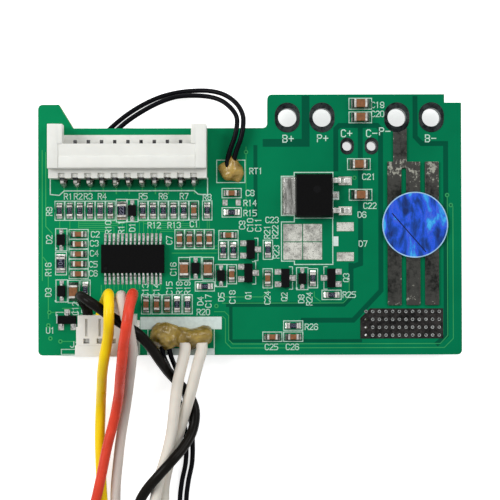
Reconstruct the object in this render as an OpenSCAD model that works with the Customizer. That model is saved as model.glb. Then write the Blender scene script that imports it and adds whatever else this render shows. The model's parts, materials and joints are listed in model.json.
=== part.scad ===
// Battery management board for a ten-cell pack.
// The board lies flat with its components up. X runs along its long side, Y across it
// and Z up. The origin is under the middle of the board, level with the undersides of
// the power transistors that it rests on. All sizes are in millimetres.

/* [Board] */
// Length of the board along X
board_l = 65; // [62:0.5:72]
// Width of the board along Y
board_w = 40; // [39:0.5:46]
// Thickness of the laminate
board_t = 1.6; // [1:0.1:2.4]
// Radius of the rounded outline corners
corner_r = 0.7; // [0.3:0.1:1]
// Depth of the recess in front of the cell header
recess_d = 5.15; // [4:0.05:5.5]
// Length of the full-width shoulder at the power end
shoulder_l = 29.8; // [29:0.1:31]
// Width of the ear at the header end
ear_w = 3.2; // [2.4:0.1:4]
// How far the top of the ear lies below the top edge
ear_drop = 1.5; // [1:0.1:2.5]
// Width of the slope from the ear down to the recess
ear_slope = 2.2; // [1:0.1:3]
// Length of the step at the far power corner
step_l = 2.6; // [1.5:0.1:2.8]
// Depth of the step at the far power corner
step_d = 1.3; // [0.5:0.1:1.6]

/* [Wire holes] */
// Bore of the four power wire holes
power_bore = 2.85; // [2:0.05:3.1]
// Width of the tinned ring round a power wire hole
power_ring = 0.5; // [0.2:0.05:0.6]
// Extra length of the power rings along Y
power_ring_stretch = 0.75; // [0:0.05:1]
// Bore of the two charge wire holes
charge_bore = 1.45; // [0.8:0.05:1.8]
// Width of the tinned ring round a charge wire hole
charge_ring = 0.3; // [0.1:0.05:0.35]
// Extra length of the charge rings along Y
charge_ring_stretch = 0.55; // [0:0.05:0.8]
// Thickness of the tin on the wire holes' rings and on the via field
plating = 0.08; // [0.04:0.01:0.12]

/* [Power copper] */
// Thickness of the solder laid along the power track
track_t = 0.35; // [0.15:0.05:0.6]
// Width of one strip of the power track
strip_w = 2.15; // [1.6:0.05:2.4]
// Spacing of the strips
strip_pitch = 2.87; // [2.7:0.01:3]
// Length of the strips
strip_l = 22; // [18:0.5:22]
// Width of the stem from the wire hole to the strips
stem_w = 2.1; // [1.5:0.05:2.6]
// Length of the via field
via_field_l = 12.7; // [12.6:0.1:13.4]
// Width of the via field
via_field_w = 4.6; // [4.4:0.1:5]
// Bore of one via
via_bore = 0.42; // [0.3:0.02:0.6]
// Spacing of the vias along the field
via_pitch = 1.02; // [0.9:0.01:1.05]
// Spacing of the via rows
via_row_pitch = 1.21; // [1:0.01:1.25]
// Diameter of the inspection sticker
sticker_d = 10.1; // [8:0.1:12]
// Thickness of the inspection sticker
sticker_t = 0.12; // [0.05:0.01:0.2]

/* [Cell header] */
// Number of header pins
header_pins = 11; // [7:1:11]
// Spacing of the header pins
pin_pitch = 2; // [1.8:0.05:2]
// Side of a square pin
pin_a = 0.5; // [0.4:0.05:0.6]
// Wall of the housing
header_wall = 0.8; // [0.5:0.05:0.9]
// Height of the housing
header_h = 4.8; // [4.2:0.1:6]
// Width of the two guide ears
header_ear_w = 1.65; // [1.2:0.05:1.65]
// Depth of the roof over the pins
header_roof_d = 3.7; // [3:0.1:4.4]
// How far the floor runs out past the roof
header_floor_run = 1.65; // [1:0.05:2]
// How far the ears run out past the roof
header_ear_run = 3.05; // [2.4:0.05:3.05]
// Depth of the notched ledge behind the roof
header_ledge_d = 1.4; // [1:0.05:1.8]
// Height of the notched ledge
header_ledge_h = 3.5; // [3.2:0.1:4]
// Width of the notch round each pin
header_notch_w = 1.05; // [0.8:0.05:1.2]
// Reach of the pins past the roof
pin_reach = 0.75; // [0.4:0.05:1]
// Distance from the ledge to the row of pin holes
tail_gap = 0.6; // [0.5:0.05:0.8]

/* [Communication plug] */
// Number of wires in the plug
plug_ways = 4; // [3:1:4]
// Width of the plug beyond its pin row
plug_margin = 2.6; // [2.2:0.1:3]
// Length of the plug
plug_l = 4.5; // [4:0.1:5]
// Height of the plug
plug_h = 4.1; // [3.8:0.1:4.6]
// Cheek of the header on each side of the plug
cheek_t = 0.35; // [0.2:0.05:0.5]
// Depth of the base block behind the plug
base_d = 1.7; // [1.5:0.1:2]
// Thickness of the floor under the plug
plug_floor_t = 0.6; // [0.4:0.05:0.8]
// Diameter of the plug's wires
comm_wire_d = 1.6; // [1.2:0.05:1.7]
// Clearance round a wire or a plug in its housing
fit_gap = 0.05; // [0.02:0.01:0.1]

/* [Chips] */
// Length of a small chip
chip_l = 1.6; // [1.4:0.05:1.8]
// Width of a small chip
chip_w = 0.8; // [0.6:0.05:0.9]
// Height of a small resistor
resistor_h = 0.45; // [0.35:0.05:0.6]
// Height of a small capacitor
capacitor_h = 0.8; // [0.6:0.05:0.9]
// Length of a large chip
big_chip_l = 2; // [1.9:0.05:2.1]
// Width of a large chip
big_chip_w = 1.25; // [1:0.05:1.35]
// Height of a large resistor
big_resistor_h = 0.5; // [0.4:0.05:0.7]
// Height of a large capacitor
big_capacitor_h = 1.1; // [0.8:0.05:1.3]
// Length of a chip's metal end band
band_l = 0.32; // [0.2:0.02:0.4]
// Thickness of a metal end band
band_t = 0.03; // [0.01:0.01:0.05]
// How far a solder land runs out past a chip's end
land_run = 0.42; // [0.25:0.01:0.45]
// Thickness of a tinned land
land_t = 0.05; // [0.03:0.01:0.1]
// Height of the solder at a chip's end as a share of the chip
solder_climb = 0.6; // [0.3:0.05:0.8]
// Spacing of the chips in the cell row
row_pitch = 1.56; // [1.5:0.01:1.6]

/* [Packages] */
// Length of the monitor chip's body
monitor_l = 9.7; // [9.4:0.1:10]
// Width of the monitor chip's body
monitor_w = 4.4; // [4.2:0.1:4.6]
// Height of the monitor chip
monitor_h = 1.1; // [0.9:0.1:1.3]
// Number of leads on each side of the monitor chip
monitor_ways = 14; // [10:1:14]
// Spacing of the monitor chip's leads
monitor_pitch = 0.65; // [0.6:0.01:0.66]
// Thickness of the sheet that small leads are cut from
lead_t = 0.15; // [0.1:0.01:0.2]
// Length of a power package's body along its leads
pack_l = 5.7; // [5.4:0.1:6.1]
// Width of a power package's body
pack_w = 6.6; // [6.2:0.1:6.8]
// Height of a power package
pack_h = 2.3; // [2:0.1:2.6]
// Thickness of a power package's tab and leads
pack_sheet_t = 0.5; // [0.4:0.05:0.6]
// Spacing of a power package's two outer leads
pack_lead_pitch = 4.6; // [4.4:0.1:4.8]
// Length of a shunt resistor
shunt_l = 6.3; // [5.8:0.1:6.6]
// Width of a shunt resistor
shunt_w = 3.2; // [2.8:0.1:3.4]
// Height of a shunt resistor
shunt_h = 0.7; // [0.5:0.05:1]

/* [Leads] */
// Diameter of the two white output wires
output_wire_d = 1.75; // [1.4:0.05:1.8]
// Diameter of the four sensor wires
sensor_wire_d = 0.75; // [0.6:0.05:0.75]
// Diameter of a sensor's bead
bead_d = 1.9; // [1.85:0.05:2.1]
// Length of a sensor's bead
bead_l = 3.6; // [2.6:0.1:4.5]
// Length of the tinned strands at a wire's end
strand_l = 4; // [2:0.5:6]
// Diameter of the tinned strands
strand_d = 0.9; // [0.6:0.05:1]

/* [Hidden] */
$fn = 32;

// Heights and edges
under_h = pack_h + land_t;
board_top = under_h + board_t;
left_x = -board_l / 2;
right_x = board_l / 2;
near_y = -board_w / 2;
far_y = board_w / 2;
recess_y = far_y - recess_d;
over = 0.5;

// Wire holes, each as its place, bore, ring width and stretch
power_y = far_y - 3.55;
charge_y = far_y - 7.95;
bplus = [right_x - 26.72, power_y];
pplus = [right_x - 21.4, power_y];
pminus = [right_x - 9.9, power_y];
bminus = [right_x - 4.6, power_y];
cplus = [right_x - 17.55, charge_y];
cminus = [right_x - 13.8, charge_y];
power_holes = [bplus, pplus, pminus, bminus];
charge_holes = [cplus, cminus];

// Power track and via field
field_right_x = right_x - 2.9;
field_near_y = near_y + 2.5;
strip_gap = 0.5;
strips_x = right_x - 10.32;
strips_top_y = field_near_y + via_field_w + strip_gap + strip_l;
field_cut = 1.5;
via_rows = 4;
via_cols = 12;
sticker_at = [strips_x + strip_pitch, strips_top_y - 9.7];

// Cell header
row_l = (header_pins - 1) * pin_pitch;
first_pin_x = left_x + 4;
header_x = first_pin_x + row_l / 2;
header_w = row_l + 2 * header_ear_w + 0.6;
roof_front_y = recess_y - 2.75;
roof_back_y = roof_front_y - header_roof_d;
ledge_back_y = roof_back_y - header_ledge_d;
tail_y = ledge_back_y - tail_gap;
pin_z = header_h / 2;
tail_bore = 0.9;
tail_below = 1.1;
joint_r = 0.68;
joint_h = 0.75;

// Communication header
plug_x = left_x + 10.9;
comm_row_l = (plug_ways - 1) * pin_pitch;
plug_w = comm_row_l + plug_margin;
comm_w = plug_w + 2 * (cheek_t + fit_gap);
base_near_y = near_y + 0.1;
base_far_y = base_near_y + base_d;
plug_far_y = base_far_y + plug_l;
comm_h = plug_floor_t + plug_h;
comm_pin_z = plug_floor_t + plug_h / 2;
comm_tail_y = base_near_y + base_d / 2;
wire_depth = 1.5;
contact_w = 1.2;

// Soldered leads
output_y = near_y + 2.9;
output_holes = [[left_x + 22.55, output_y], [left_x + 25.1, output_y]];
probe_holes = [[left_x + 19, output_y + 0.1], [left_x + 20.1, output_y + 0.1]];
sensor_x = left_x + 29.6;
sensor_y = far_y - 11.9;
sensor_holes = [[sensor_x - 0.5, sensor_y], [sensor_x + 0.5, sensor_y]];
lead_bore = 0.8;
lead_strand_d = 0.6;
lead_rim_r = 0.48;

// Chips on the board, each as its place and turn
row_y = 2.2;
row_x = left_x + 3.3;
row_after_x = left_x + 16.1;
monitor_at = [left_x + 14.55, -5.2];
gate_row_y = (output_y + monitor_at[1]) / 2 - 1.05;
drive_row_y = far_y - 28.2;
cell_row_resistor_at = [
    for (i = [0:5]) [row_x + i * row_pitch, row_y, 90],
    for (i = [0:4]) [row_after_x + i * row_pitch, row_y, 90],
    [left_x + 25.95, row_y, 90]];
cell_row_capacitor_at = [
    [row_after_x + 5 * row_pitch, row_y, 90],
    for (i = [0:4]) [left_x + 6.2, -1.4 - i * 1.52, 0],
    for (i = [0:3]) [left_x + 21.7 + i * 1.52, -2.2, 90]];
drive_resistor_at = [
    [left_x + 7.25, -9.9, 90], [left_x + 25.55, -9.45, 0],
    [left_x + 21.3, gate_row_y, 90], [left_x + 22.9, gate_row_y, 90],
    [sensor_x + 0.1, sensor_y - 6.2, 0], [left_x + 28.4, -3.9, 90],
    [left_x + 29.95, -3.9, 90], [right_x - 29.75, -3.85, 90],
    [right_x - 22.85, drive_row_y - 0.05, 90], [right_x - 20, drive_row_y - 2.6, 0],
    [right_x - 25.9, -15.5, 0]];
drive_capacitor_at = [
    for (i = [0:2]) [left_x + 16.55 + i * 1.62, gate_row_y, 90],
    [sensor_x + 0.1, sensor_y - 3.25, 0], [left_x + 29.2, -1.6, 0],
    [left_x + 29.7, -7.6, 90], [right_x - 29.8, drive_row_y - 0.05, 90],
    [right_x - 29.1, -17.2, 0], [right_x - 25.9, -17.2, 0]];
large_resistor_at = [[left_x + 12.85, row_y, 90], [left_x + 3.5, -5.9, 90]];
large_capacitor_at = [
    [left_x + 5.45, -10.2, 90], [left_x + 22.4, -6.75, 90],
    [left_x + 26.05, -6.75, 90], [right_x - 15.5, far_y - 1.45, 0],
    [right_x - 15.5, far_y - 3.55, 0], [right_x - 15.75, far_y - 10.75, 0],
    [right_x - 15.5, far_y - 15.45, 0]];
empty_chip_at = [[sensor_x + 0.1, sensor_y - 4.7, 0]];
small_diode_at = [
    [left_x + 14.45, row_y, 90], [left_x + 3.55, -2.25, 90],
    [left_x + 3.6, -10.1, 90], [left_x + 24.15, -6.65, 90],
    [left_x + 28.05, -7.8, 90], [right_x - 24.5, drive_row_y - 0.1, 90]];
transistor_at = [
    [left_x + 4.45, -14.5, 270], [left_x + 32.6, -3.8, 180],
    [left_x + 32.25, -7.4, 180], [right_x - 27.1, drive_row_y, 180],
    [right_x - 20.05, drive_row_y, 0]];
charge_diode_at = [right_x - 22.7, far_y - 15.6];
open_footprint_at = [right_x - 24.42, far_y - 22.65];

// Parts under the board
discharge_y = near_y + 9;
charge_switch_y = far_y - 14.5;
power_transistor_at = [
    for (i = [0:3]) [left_x + 12.5 + i * (board_l - 25) / 3, discharge_y, 90],
    [3, charge_switch_y, 270], [right_x - 18.5, charge_switch_y, 270]];
shunt_at = [[right_x - 10.9, far_y - 12.5, 90], [right_x - 6.6, far_y - 12.5, 90]];

// Routes of the free wires, as round points from the board outwards
black_route = [[-24.6, -15.2, 6.6], [-24.6, -13.6, 6.6], [-24.8, -12.5, 6.8],
    [-25.2, -11.7, 7.4], [-25.5, -11.1, 8.3], [-25.4, -10.8, 9.4],
    [-24.8, -11, 10.4], [-23.8, -11.6, 11], [-22.5, -12.5, 10.9],
    [-20.6, -13.9, 10.3], [-18.5, -15.3, 9.8], [-16.7, -16.5, 9.4],
    [-15.1, -18.4, 7.9], [-13.9, -20.4, 6.2], [-12.6, -22.5, 4],
    [-11, -24.5, 2.2], [-9.5, -26.4, 1.5], [-8.6, -28.8, 1.6],
    [-8.9, -31.6, 2.1], [-10.1, -33.9, 3.1], [-12, -36.1, 4.4],
    [-14.3, -38.6, 4.5], [-16.2, -41, 3.4], [-17.4, -43.6, 2],
    [-18, -48, 1], [-17.7, -56, 0.85], [-17.1, -68, 0.85], [-17.4, -80, 0.85],
    [-18.4, -90, 0.85], [-18.4, -95, 0.85]];
yellow_route = [[-22.6, -15.2, 6.6], [-22.6, -13.6, 6.6], [-22.3, -12.4, 6.85],
    [-21.8, -11.4, 7.5], [-21.4, -10.7, 8.5], [-21.15, -10.45, 9.75],
    [-21, -10.7, 11], [-20.9, -11.4, 12.05], [-20.8, -12.4, 12.75],
    [-20.8, -13.6, 13], [-20.85, -14.9, 12.7], [-21, -16.3, 11.8], [-21.3, -17.8, 10.8],
    [-21.8, -20, 9.7], [-22.3, -22.3, 7.6], [-22.8, -25.2, 4.1],
    [-23.2, -28.2, 1.5], [-23.4, -32.5, 0.9], [-23.3, -37, 0.85],
    [-23, -42.8, 0.85], [-22.3, -52, 0.85], [-21.5, -64, 0.85],
    [-21.7, -77, 0.85], [-22.7, -89, 0.85], [-22.7, -95, 0.85]];
grey_route = [[-20.6, -15.2, 6.6], [-20.6, -13.6, 6.6], [-20.3, -12.4, 6.8],
    [-19.9, -11.5, 7.5], [-19.5, -10.9, 8.4], [-19.3, -10.7, 9.5],
    [-19.2, -10.9, 10.6], [-19, -11.5, 11.5], [-18.7, -12.5, 12.15],
    [-18.4, -13.7, 12.3], [-18, -15.2, 11.9], [-17.8, -16.5, 11.3], [-17.6, -18.6, 10.3],
    [-17.8, -20.6, 9.2], [-18.2, -22.8, 6.9], [-18.8, -25.6, 3.4],
    [-19.4, -28.6, 1.3], [-20, -32, 0.9], [-20.5, -36, 0.85],
    [-21, -42.8, 0.85], [-20.3, -52, 0.85], [-19.3, -64, 0.85],
    [-19.5, -77, 0.85], [-20.6, -90, 0.85], [-20.6, -96, 0.85]];
red_route = [[-18.6, -15.2, 6.6], [-18.6, -13.6, 6.6], [-18.3, -12.4, 6.85],
    [-17.9, -11.35, 7.6], [-17.6, -10.65, 8.7], [-17.5, -10.4, 10],
    [-17.5, -10.6, 11.4], [-17.6, -11.3, 12.7], [-17.75, -12.4, 13.7],
    [-17.9, -13.7, 14.25], [-18.1, -15, 14.2], [-18.35, -16.4, 13.5], [-18.7, -18, 12.4],
    [-19.1, -20.6, 10.7], [-19.6, -23.2, 8.1], [-20.1, -26, 4.9],
    [-20.9, -29.6, 2.9], [-22.1, -34.2, 2.6], [-23, -38.6, 2.6],
    [-23.9, -42.5, 2.4], [-25, -46.5, 1.4], [-25.6, -52, 0.9],
    [-25.6, -64, 0.85], [-25.1, -77, 0.85], [-25.6, -90, 0.85],
    [-25.6, -96, 0.85]];
left_output_route = [[-9.95, -18, 5.1], [-9.95, -19.2, 5.1],
    [-10.3, -20.8, 5.1], [-10.8, -22.8, 5], [-11.2, -24.8, 4.6],
    [-11.5, -27, 4.1], [-11.8, -29.4, 3.6], [-12.2, -32.2, 3.1],
    [-12.9, -35.2, 2.75], [-13.8, -38.2, 2.65], [-14.6, -41.8, 2.6],
    [-15.2, -45.5, 1.9], [-15.4, -51, 1.05], [-15, -60, 0.95],
    [-14.5, -72, 0.95], [-15, -83, 0.95], [-15, -88, 0.95]];
right_output_route = [[-7.4, -18, 5.1], [-7.4, -19.2, 5.1], [-7.9, -20.9, 5],
    [-8.4, -22.8, 4.7], [-9, -25.2, 4], [-9.7, -27.6, 3.1],
    [-10.4, -29.9, 2.2], [-11.3, -32.8, 1.4], [-12.3, -35.8, 1],
    [-13.1, -38.6, 0.95], [-13.5, -42, 0.95], [-13.1, -49, 0.95],
    [-12.3, -60, 0.95], [-12, -72, 0.95], [-12.4, -82, 0.95],
    [-12.4, -87, 0.95]];
left_probe_route = [[-13.5, -17.7, 4.9], [-13.5, -18.8, 4.9],
    [-13.2, -20.2, 4.5], [-12.6, -21.8, 3], [-12.1, -23.4, 1.5],
    [-11.6, -25.2, 0.65], [-10.9, -28, 0.5], [-10.3, -31, 0.5],
    [-10, -34, 0.5], [-10.1, -37, 0.5], [-10.7, -40, 0.5], [-11, -43.5, 0.5],
    [-10.6, -50, 0.5], [-9.7, -60, 0.5], [-9.2, -70, 0.5], [-9.3, -78, 0.6],
    [-9.7, -84, 1], [-9.7, -87, 1]];
right_probe_route = [[-12.4, -17.7, 4.9], [-12.4, -18.8, 4.9],
    [-12.1, -20.2, 4.4], [-11.6, -21.8, 2.8], [-11.1, -23.4, 1.3],
    [-10.6, -25.2, 0.6], [-9.9, -28, 0.5], [-9.2, -31, 0.5],
    [-9, -34, 0.5], [-9.1, -37, 0.5], [-9.7, -40, 0.5], [-10, -43.5, 0.5],
    [-9.6, -50, 0.5], [-8.7, -60, 0.5], [-8.2, -70, 0.5], [-8.3, -78, 0.6],
    [-8.8, -84, 1], [-8.8, -87, 1]];
outer_sensor_route = [[-2.4, 8.8, 4.85], [-2.4, 9.9, 4.85], [-2, 11.4, 5.1],
    [-1.35, 13.2, 5.5], [-1, 15.1, 5.4], [-1.1, 16.9, 4.8], [-2.1, 18.7, 3.9],
    [-3.9, 20.1, 2.9], [-6.2, 20.8, 2], [-9, 20.9, 1.3], [-11.8, 20.6, 0.8],
    [-14.6, 19.8, 0.6], [-17.6, 18.3, 0.5], [-20.3, 16.4, 0.5],
    [-22.8, 14, 0.5], [-24.8, 10.8, 0.5], [-25.9, 6.8, 0.5],
    [-26.2, 2.4, 0.5], [-25.6, -2, 0.6], [-24.8, -5, 1], [-24.8, -7, 1]];
inner_sensor_route = [[-3.4, 8.8, 4.85], [-3.4, 9.9, 4.85], [-3, 11.4, 5.1],
    [-2.3, 13.3, 5.4], [-1.95, 15.1, 5.3], [-2.05, 16.6, 4.8], [-2.95, 18, 3.9],
    [-4.4, 19.2, 3], [-6.4, 19.9, 2.2], [-9, 20.1, 1.8], [-11.6, 19.9, 1.5],
    [-14.3, 19, 1.2], [-17.1, 17.5, 1.1], [-19.7, 15.7, 0.9],
    [-22, 13.4, 0.6], [-23.8, 10.4, 0.5], [-24.9, 6.6, 0.5],
    [-25.2, 2.4, 0.5], [-24.7, -2, 0.6], [-23.9, -5, 1], [-23.9, -7, 1]];

// ---- shared shapes ----

// Arc of points round a centre
function arc(c, r, a, b, n = 6) =
    [for (i = [0:n]) let(t = a + (b - a) * i / n) c + r * [cos(t), sin(t)]];

// Point of a smooth curve between the second and third of four points
function between(a, b, c, d, t) =
    0.5 * ((2 * b) + (c - a) * t + (2 * a - 5 * b + 4 * c - d) * t * t
        + (3 * b - a - 3 * c + d) * t * t * t);

// Smooth line through a route, with some steps between its points
function smooth(p, steps) = let(n = len(p) - 1)
    [for (i = [0:n - 1], k = [0:steps - 1])
        between(i == 0 ? 2 * p[0] - p[1] : p[i - 1], p[i], p[i + 1],
            i == n - 1 ? 2 * p[n] - p[n - 1] : p[i + 2], k / steps), p[n]];

function unit(v) = v / norm(v);
function heading(p, i) = unit(p[min(i + 1, len(p) - 1)] - p[max(i - 1, 0)]);
function last(p) = p[len(p) - 1];
function square_to(v, t) = unit(v - (v * t) * t);

// Tube with flat ends swept along a route, without twist
module tube(route, d, steps = 2, sides = 8) {
    p = smooth(route, steps);
    n = len(p);
    ways = [for (i = [0:n - 1]) i == 0 ? unit(route[1] - route[0])
        : i == n - 1 ? unit(last(route) - route[len(route) - 2]) : heading(p, i)];
    up = [for (i = 0, u = square_to([0, 0, 1], ways[0]); i < n;
        i = i + 1, u = i < n ? square_to(u, ways[i]) : u) u];
    points = [for (i = [0:n - 1]) let(t = ways[i], s = cross(t, up[i]))
        for (k = [0:sides - 1]) let(a = 360 * (k + 0.5) / sides)
            p[i] + d / 2 * (cos(a) * s + sin(a) * up[i])];
    walls = [for (i = [0:n - 2], k = [0:sides - 1]) let(
        a = i * sides + k, b = i * sides + (k + 1) % sides)
        each [[a, b + sides, b], [a, a + sides, b + sides]]];
    polyhedron(points, concat(walls, [[for (k = [0:sides - 1]) k]],
        [[for (k = [0:sides - 1]) n * sides - 1 - k]]));
}

module at(places) {
    for (p = places) translate([p[0], p[1], 0]) rotate(p[2]) children();
}

module on_board() { translate([0, 0, board_top]) children(); }
module under_board() { translate([0, 0, under_h]) mirror([0, 0, 1]) children(); }

module oblong(w, stretch, h) {
    linear_extrude(h) union() {
        translate([0, stretch / 2]) circle(d = w, $fn = 48);
        translate([0, -stretch / 2]) circle(d = w, $fn = 48);
        square([w, max(stretch, 0.001)], center = true);
    }
}

// Ball whose top stands h above z = 0 and which is 2 r wide there
module heap(r, h) {
    ball_r = (r * r + h * h) / (2 * h);
    translate([0, 0, h - ball_r]) sphere(ball_r, $fn = 64);
}

// Keeps what lies above the board in a box of the given size about the middle
module above_board(size) {
    intersection() {
        children();
        translate([-size[0] / 2, -size[1] / 2, 0]) cube(size);
    }
}

// Solder that fills a plated hole, with a cone above and below, round a square pin
module pin_joint(bore, pin) {
    side = [for (i = [0:4]) let(t = i / 4)
        [pin * 0.72 + (joint_r - pin * 0.72) * pow(t, 2.2), joint_h * (1 - t)]];
    difference() {
        rotate_extrude($fn = 32) polygon(concat([[0, joint_h]], side,
            [[bore / 2, 0], [bore / 2, -board_t]],
            [for (i = [4:-1:0]) [side[i][0], -board_t - side[i][1]]],
            [[0, -board_t - joint_h]]));
        translate([-pin / 2, -pin / 2, -board_t - joint_h - over])
            cube([pin, pin, board_t + 2 * (joint_h + over)]);
    }
}

// Chip with a metal band at each end, long side along X
module chip(l, w, h) {
    translate([0, 0, land_t]) union() {
        translate([-l / 2 + band_t, -w / 2 + band_t, band_t])
            cube([l - 2 * band_t, w - 2 * band_t, h - 2 * band_t]);
        for (s = [0, 1]) mirror([s, 0, 0])
            translate([l / 2 - band_l, -w / 2, 0]) cube([band_l, w, h]);
    }
}

// Land and solder fillet at both ends of a chip
module chip_solder(l, w, h, filled = true) {
    climb = filled ? h * solder_climb : 0.02;
    for (s = [0, 1]) mirror([s, 0, 0]) translate([0, w * 0.55, 0])
        rotate([90, 0, 0]) linear_extrude(w * 1.1) polygon(concat(
            [[l / 2 - band_l - 0.1, 0], [l / 2 + land_run, 0],
            [l / 2 + land_run, land_t]],
            [for (i = [1:4]) [l / 2 + land_run * pow(1 - i / 4, 1.6),
                land_t + climb * i / 4]],
            [[l / 2, land_t], [l / 2 - band_l - 0.1, land_t]]));
}

// Bent lead that leaves a body at x = 0 and stands on a land
module bent_lead(w, t, drop, reach, foot) {
    translate([0, w / 2, land_t]) rotate([90, 0, 0]) linear_extrude(w) polygon([
        [0, drop - t], [(reach - foot) * 0.45, drop - t],
        [reach - foot - t * 0.3, 0], [reach, 0], [reach, t],
        [reach - foot + t * 0.5, t], [(reach - foot) * 0.45 + t, drop], [0, drop]]);
}

module land(l, w) { translate([-l / 2, -w / 2, 0]) cube([l, w, land_t]); }

// Moulded package whose four sides lean in above and below a seam band
function sloped(a, h, low, high, lean) = [[-a / 2 + lean, 0], [a / 2 - lean, 0],
    [a / 2, low], [a / 2, high], [a / 2 - lean, h], [-a / 2 + lean, h],
    [-a / 2, high], [-a / 2, low]];

module moulded(l, w, h, low, high) {
    lean = h * 0.08;
    intersection() {
        translate([0, w / 2, 0]) rotate([90, 0, 0]) linear_extrude(w)
            polygon(sloped(l, h, low, high, lean));
        translate([-l / 2, 0, 0]) rotate([90, 0, 90]) linear_extrude(l)
            polygon(sloped(w, h, low, high, lean));
    }
}

// ---- board ----

module outline() {
    r = corner_r;
    polygon(concat(
        arc([left_x + r, near_y + r], r, 180, 270),
        arc([right_x - r, near_y + r], r, 270, 360),
        [[right_x, far_y - step_d], [right_x - step_l, far_y - step_d],
            [right_x - step_l, far_y]],
        arc([right_x - shoulder_l + r, far_y - r], r, 90, 180),
        arc([right_x - shoulder_l - r, recess_y + r], r, 360, 270),
        [[left_x + ear_w + ear_slope, recess_y],
            [left_x + ear_w, far_y - ear_drop]],
        arc([left_x + r, far_y - ear_drop - r], r, 90, 180)));
}

module via_places() {
    for (i = [0:via_cols - 1], j = [0:via_rows - 1])
        if (i > 0 || j < via_rows - 1)
            translate([field_right_x - 0.6 - (via_cols - 1 - i) * via_pitch,
                field_near_y + 0.5 + j * via_row_pitch]) children();
}

module circuit_board() {
    color("seagreen") translate([0, 0, under_h]) linear_extrude(board_t)
        difference() {
            outline();
            for (p = power_holes) translate(p) circle(d = power_bore, $fn = 48);
            for (p = charge_holes) translate(p) circle(d = charge_bore, $fn = 48);
            for (i = [0:header_pins - 1])
                translate([first_pin_x + i * pin_pitch, tail_y])
                    circle(d = tail_bore);
            for (i = [0:plug_ways - 1])
                translate([plug_x - comm_row_l / 2 + i * pin_pitch, comm_tail_y])
                    circle(d = tail_bore);
            for (p = concat(output_holes, probe_holes, sensor_holes))
                translate(p) circle(d = lead_bore);
            via_places() circle(d = via_bore, $fn = 16);
        }
}

// Tinned ring round a wire hole on each face, open over the bore
module terminal(bore, ring, stretch) {
    difference() {
        union() {
            on_board() oblong(bore + 2 * ring, stretch, plating);
            under_board() oblong(bore + 2 * ring, stretch, plating);
        }
        translate([0, 0, under_h - over])
            cylinder(d = bore, h = board_t + 2 * over, $fn = 48);
    }
}

module wire_terminals() {
    color("dimgray") {
        for (p = power_holes) translate(p)
            terminal(power_bore, power_ring, power_ring_stretch);
        for (p = charge_holes) translate(p)
            terminal(charge_bore, charge_ring, charge_ring_stretch);
    }
}

// Solder laid thickly along the bare copper of the power track
module power_track_solder() {
    stem_top_y = power_y - power_ring_stretch / 2
        - sqrt(pow(power_bore / 2 + power_ring, 2) - pow(stem_w / 2, 2));
    color("slategray") on_board() linear_extrude(track_t) union() {
        difference() {
            translate([pminus[0] - stem_w / 2 + 0.45, strips_top_y - 1])
                square([stem_w, stem_top_y - strips_top_y + 2.2]);
            translate(pminus) union() {
                for (s = [-1, 1]) translate([0, s * power_ring_stretch / 2])
                    circle(d = power_bore + 2 * power_ring, $fn = 48);
                square([power_bore + 2 * power_ring, power_ring_stretch],
                    center = true);
            }
        }
        for (i = [0:2])
            translate([strips_x + i * strip_pitch - strip_w / 2,
                strips_top_y - strip_l]) square([strip_w, strip_l]);
    }
}

module via_field() {
    color("slategray") on_board() linear_extrude(plating) difference() {
        polygon([[field_right_x - via_field_l, field_near_y],
            [field_right_x, field_near_y],
            [field_right_x, field_near_y + via_field_w],
            [field_right_x - via_field_l + field_cut, field_near_y + via_field_w],
            [field_right_x - via_field_l, field_near_y + via_field_w - field_cut]]);
        via_places() circle(d = via_bore, $fn = 16);
    }
}

module open_footprint_lands() {
    color("silver") on_board() translate(open_footprint_at) {
        for (i = [-1, 1], j = [-1, 1])
            translate([i * 1.52, j * 1.4]) land(2.9, 2.66);
        for (j = [-1, 1]) translate([6.55, j * pack_lead_pitch / 2])
            land(2.6, 1.35);
    }
}

module inspection_sticker() {
    color("royalblue") on_board()
        translate([sticker_at[0], sticker_at[1], track_t])
            cylinder(d = sticker_d, h = sticker_t, $fn = 96);
}

// ---- cell header ----

module cell_header_housing() {
    depth = header_ledge_d + header_roof_d;
    inner_w = header_w - 2 * header_ear_w;
    color("ivory") on_board() translate([header_x, ledge_back_y, 0]) difference() {
        union() {
            translate([-header_w / 2, header_ledge_d, 0])
                cube([header_w, header_roof_d, header_h]);
            translate([-header_w / 2, 0, 0])
                cube([header_w, header_ledge_d, header_ledge_h]);
            translate([-header_w / 2, depth, 0])
                cube([header_w, header_floor_run, header_wall]);
            for (s = [0, 1]) mirror([s, 0, 0])
                translate([header_w / 2 - header_ear_w, header_ledge_d, 0])
                    rotate([90, 0, 90]) linear_extrude(header_ear_w) polygon(concat(
                        [[0, 0], [header_roof_d + header_ear_run, 0]],
                        arc([header_roof_d + header_ear_run - 0.5, header_h - 0.5],
                            0.5, 0, 90), [[0, header_h]]));
        }
        // mouth that the cell plug goes into
        translate([-inner_w / 2, header_ledge_d + header_wall, header_wall])
            cube([inner_w, header_roof_d + over,
                header_h - 2 * header_wall]);
        // notch round the back of every pin
        for (i = [0:header_pins - 1])
            translate([(i - (header_pins - 1) / 2) * pin_pitch - header_notch_w / 2,
                -over, -over])
                cube([header_notch_w, over + header_ledge_d * 0.55,
                    header_ledge_h + 2 * over]);
        // seat of every pin through the back wall
        for (i = [0:header_pins - 1])
            translate([(i - (header_pins - 1) / 2) * pin_pitch - pin_a / 2,
                -over, pin_z - pin_a / 2])
                cube([pin_a, header_ledge_d + header_wall + 2 * over, pin_a]);
    }
}

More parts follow.
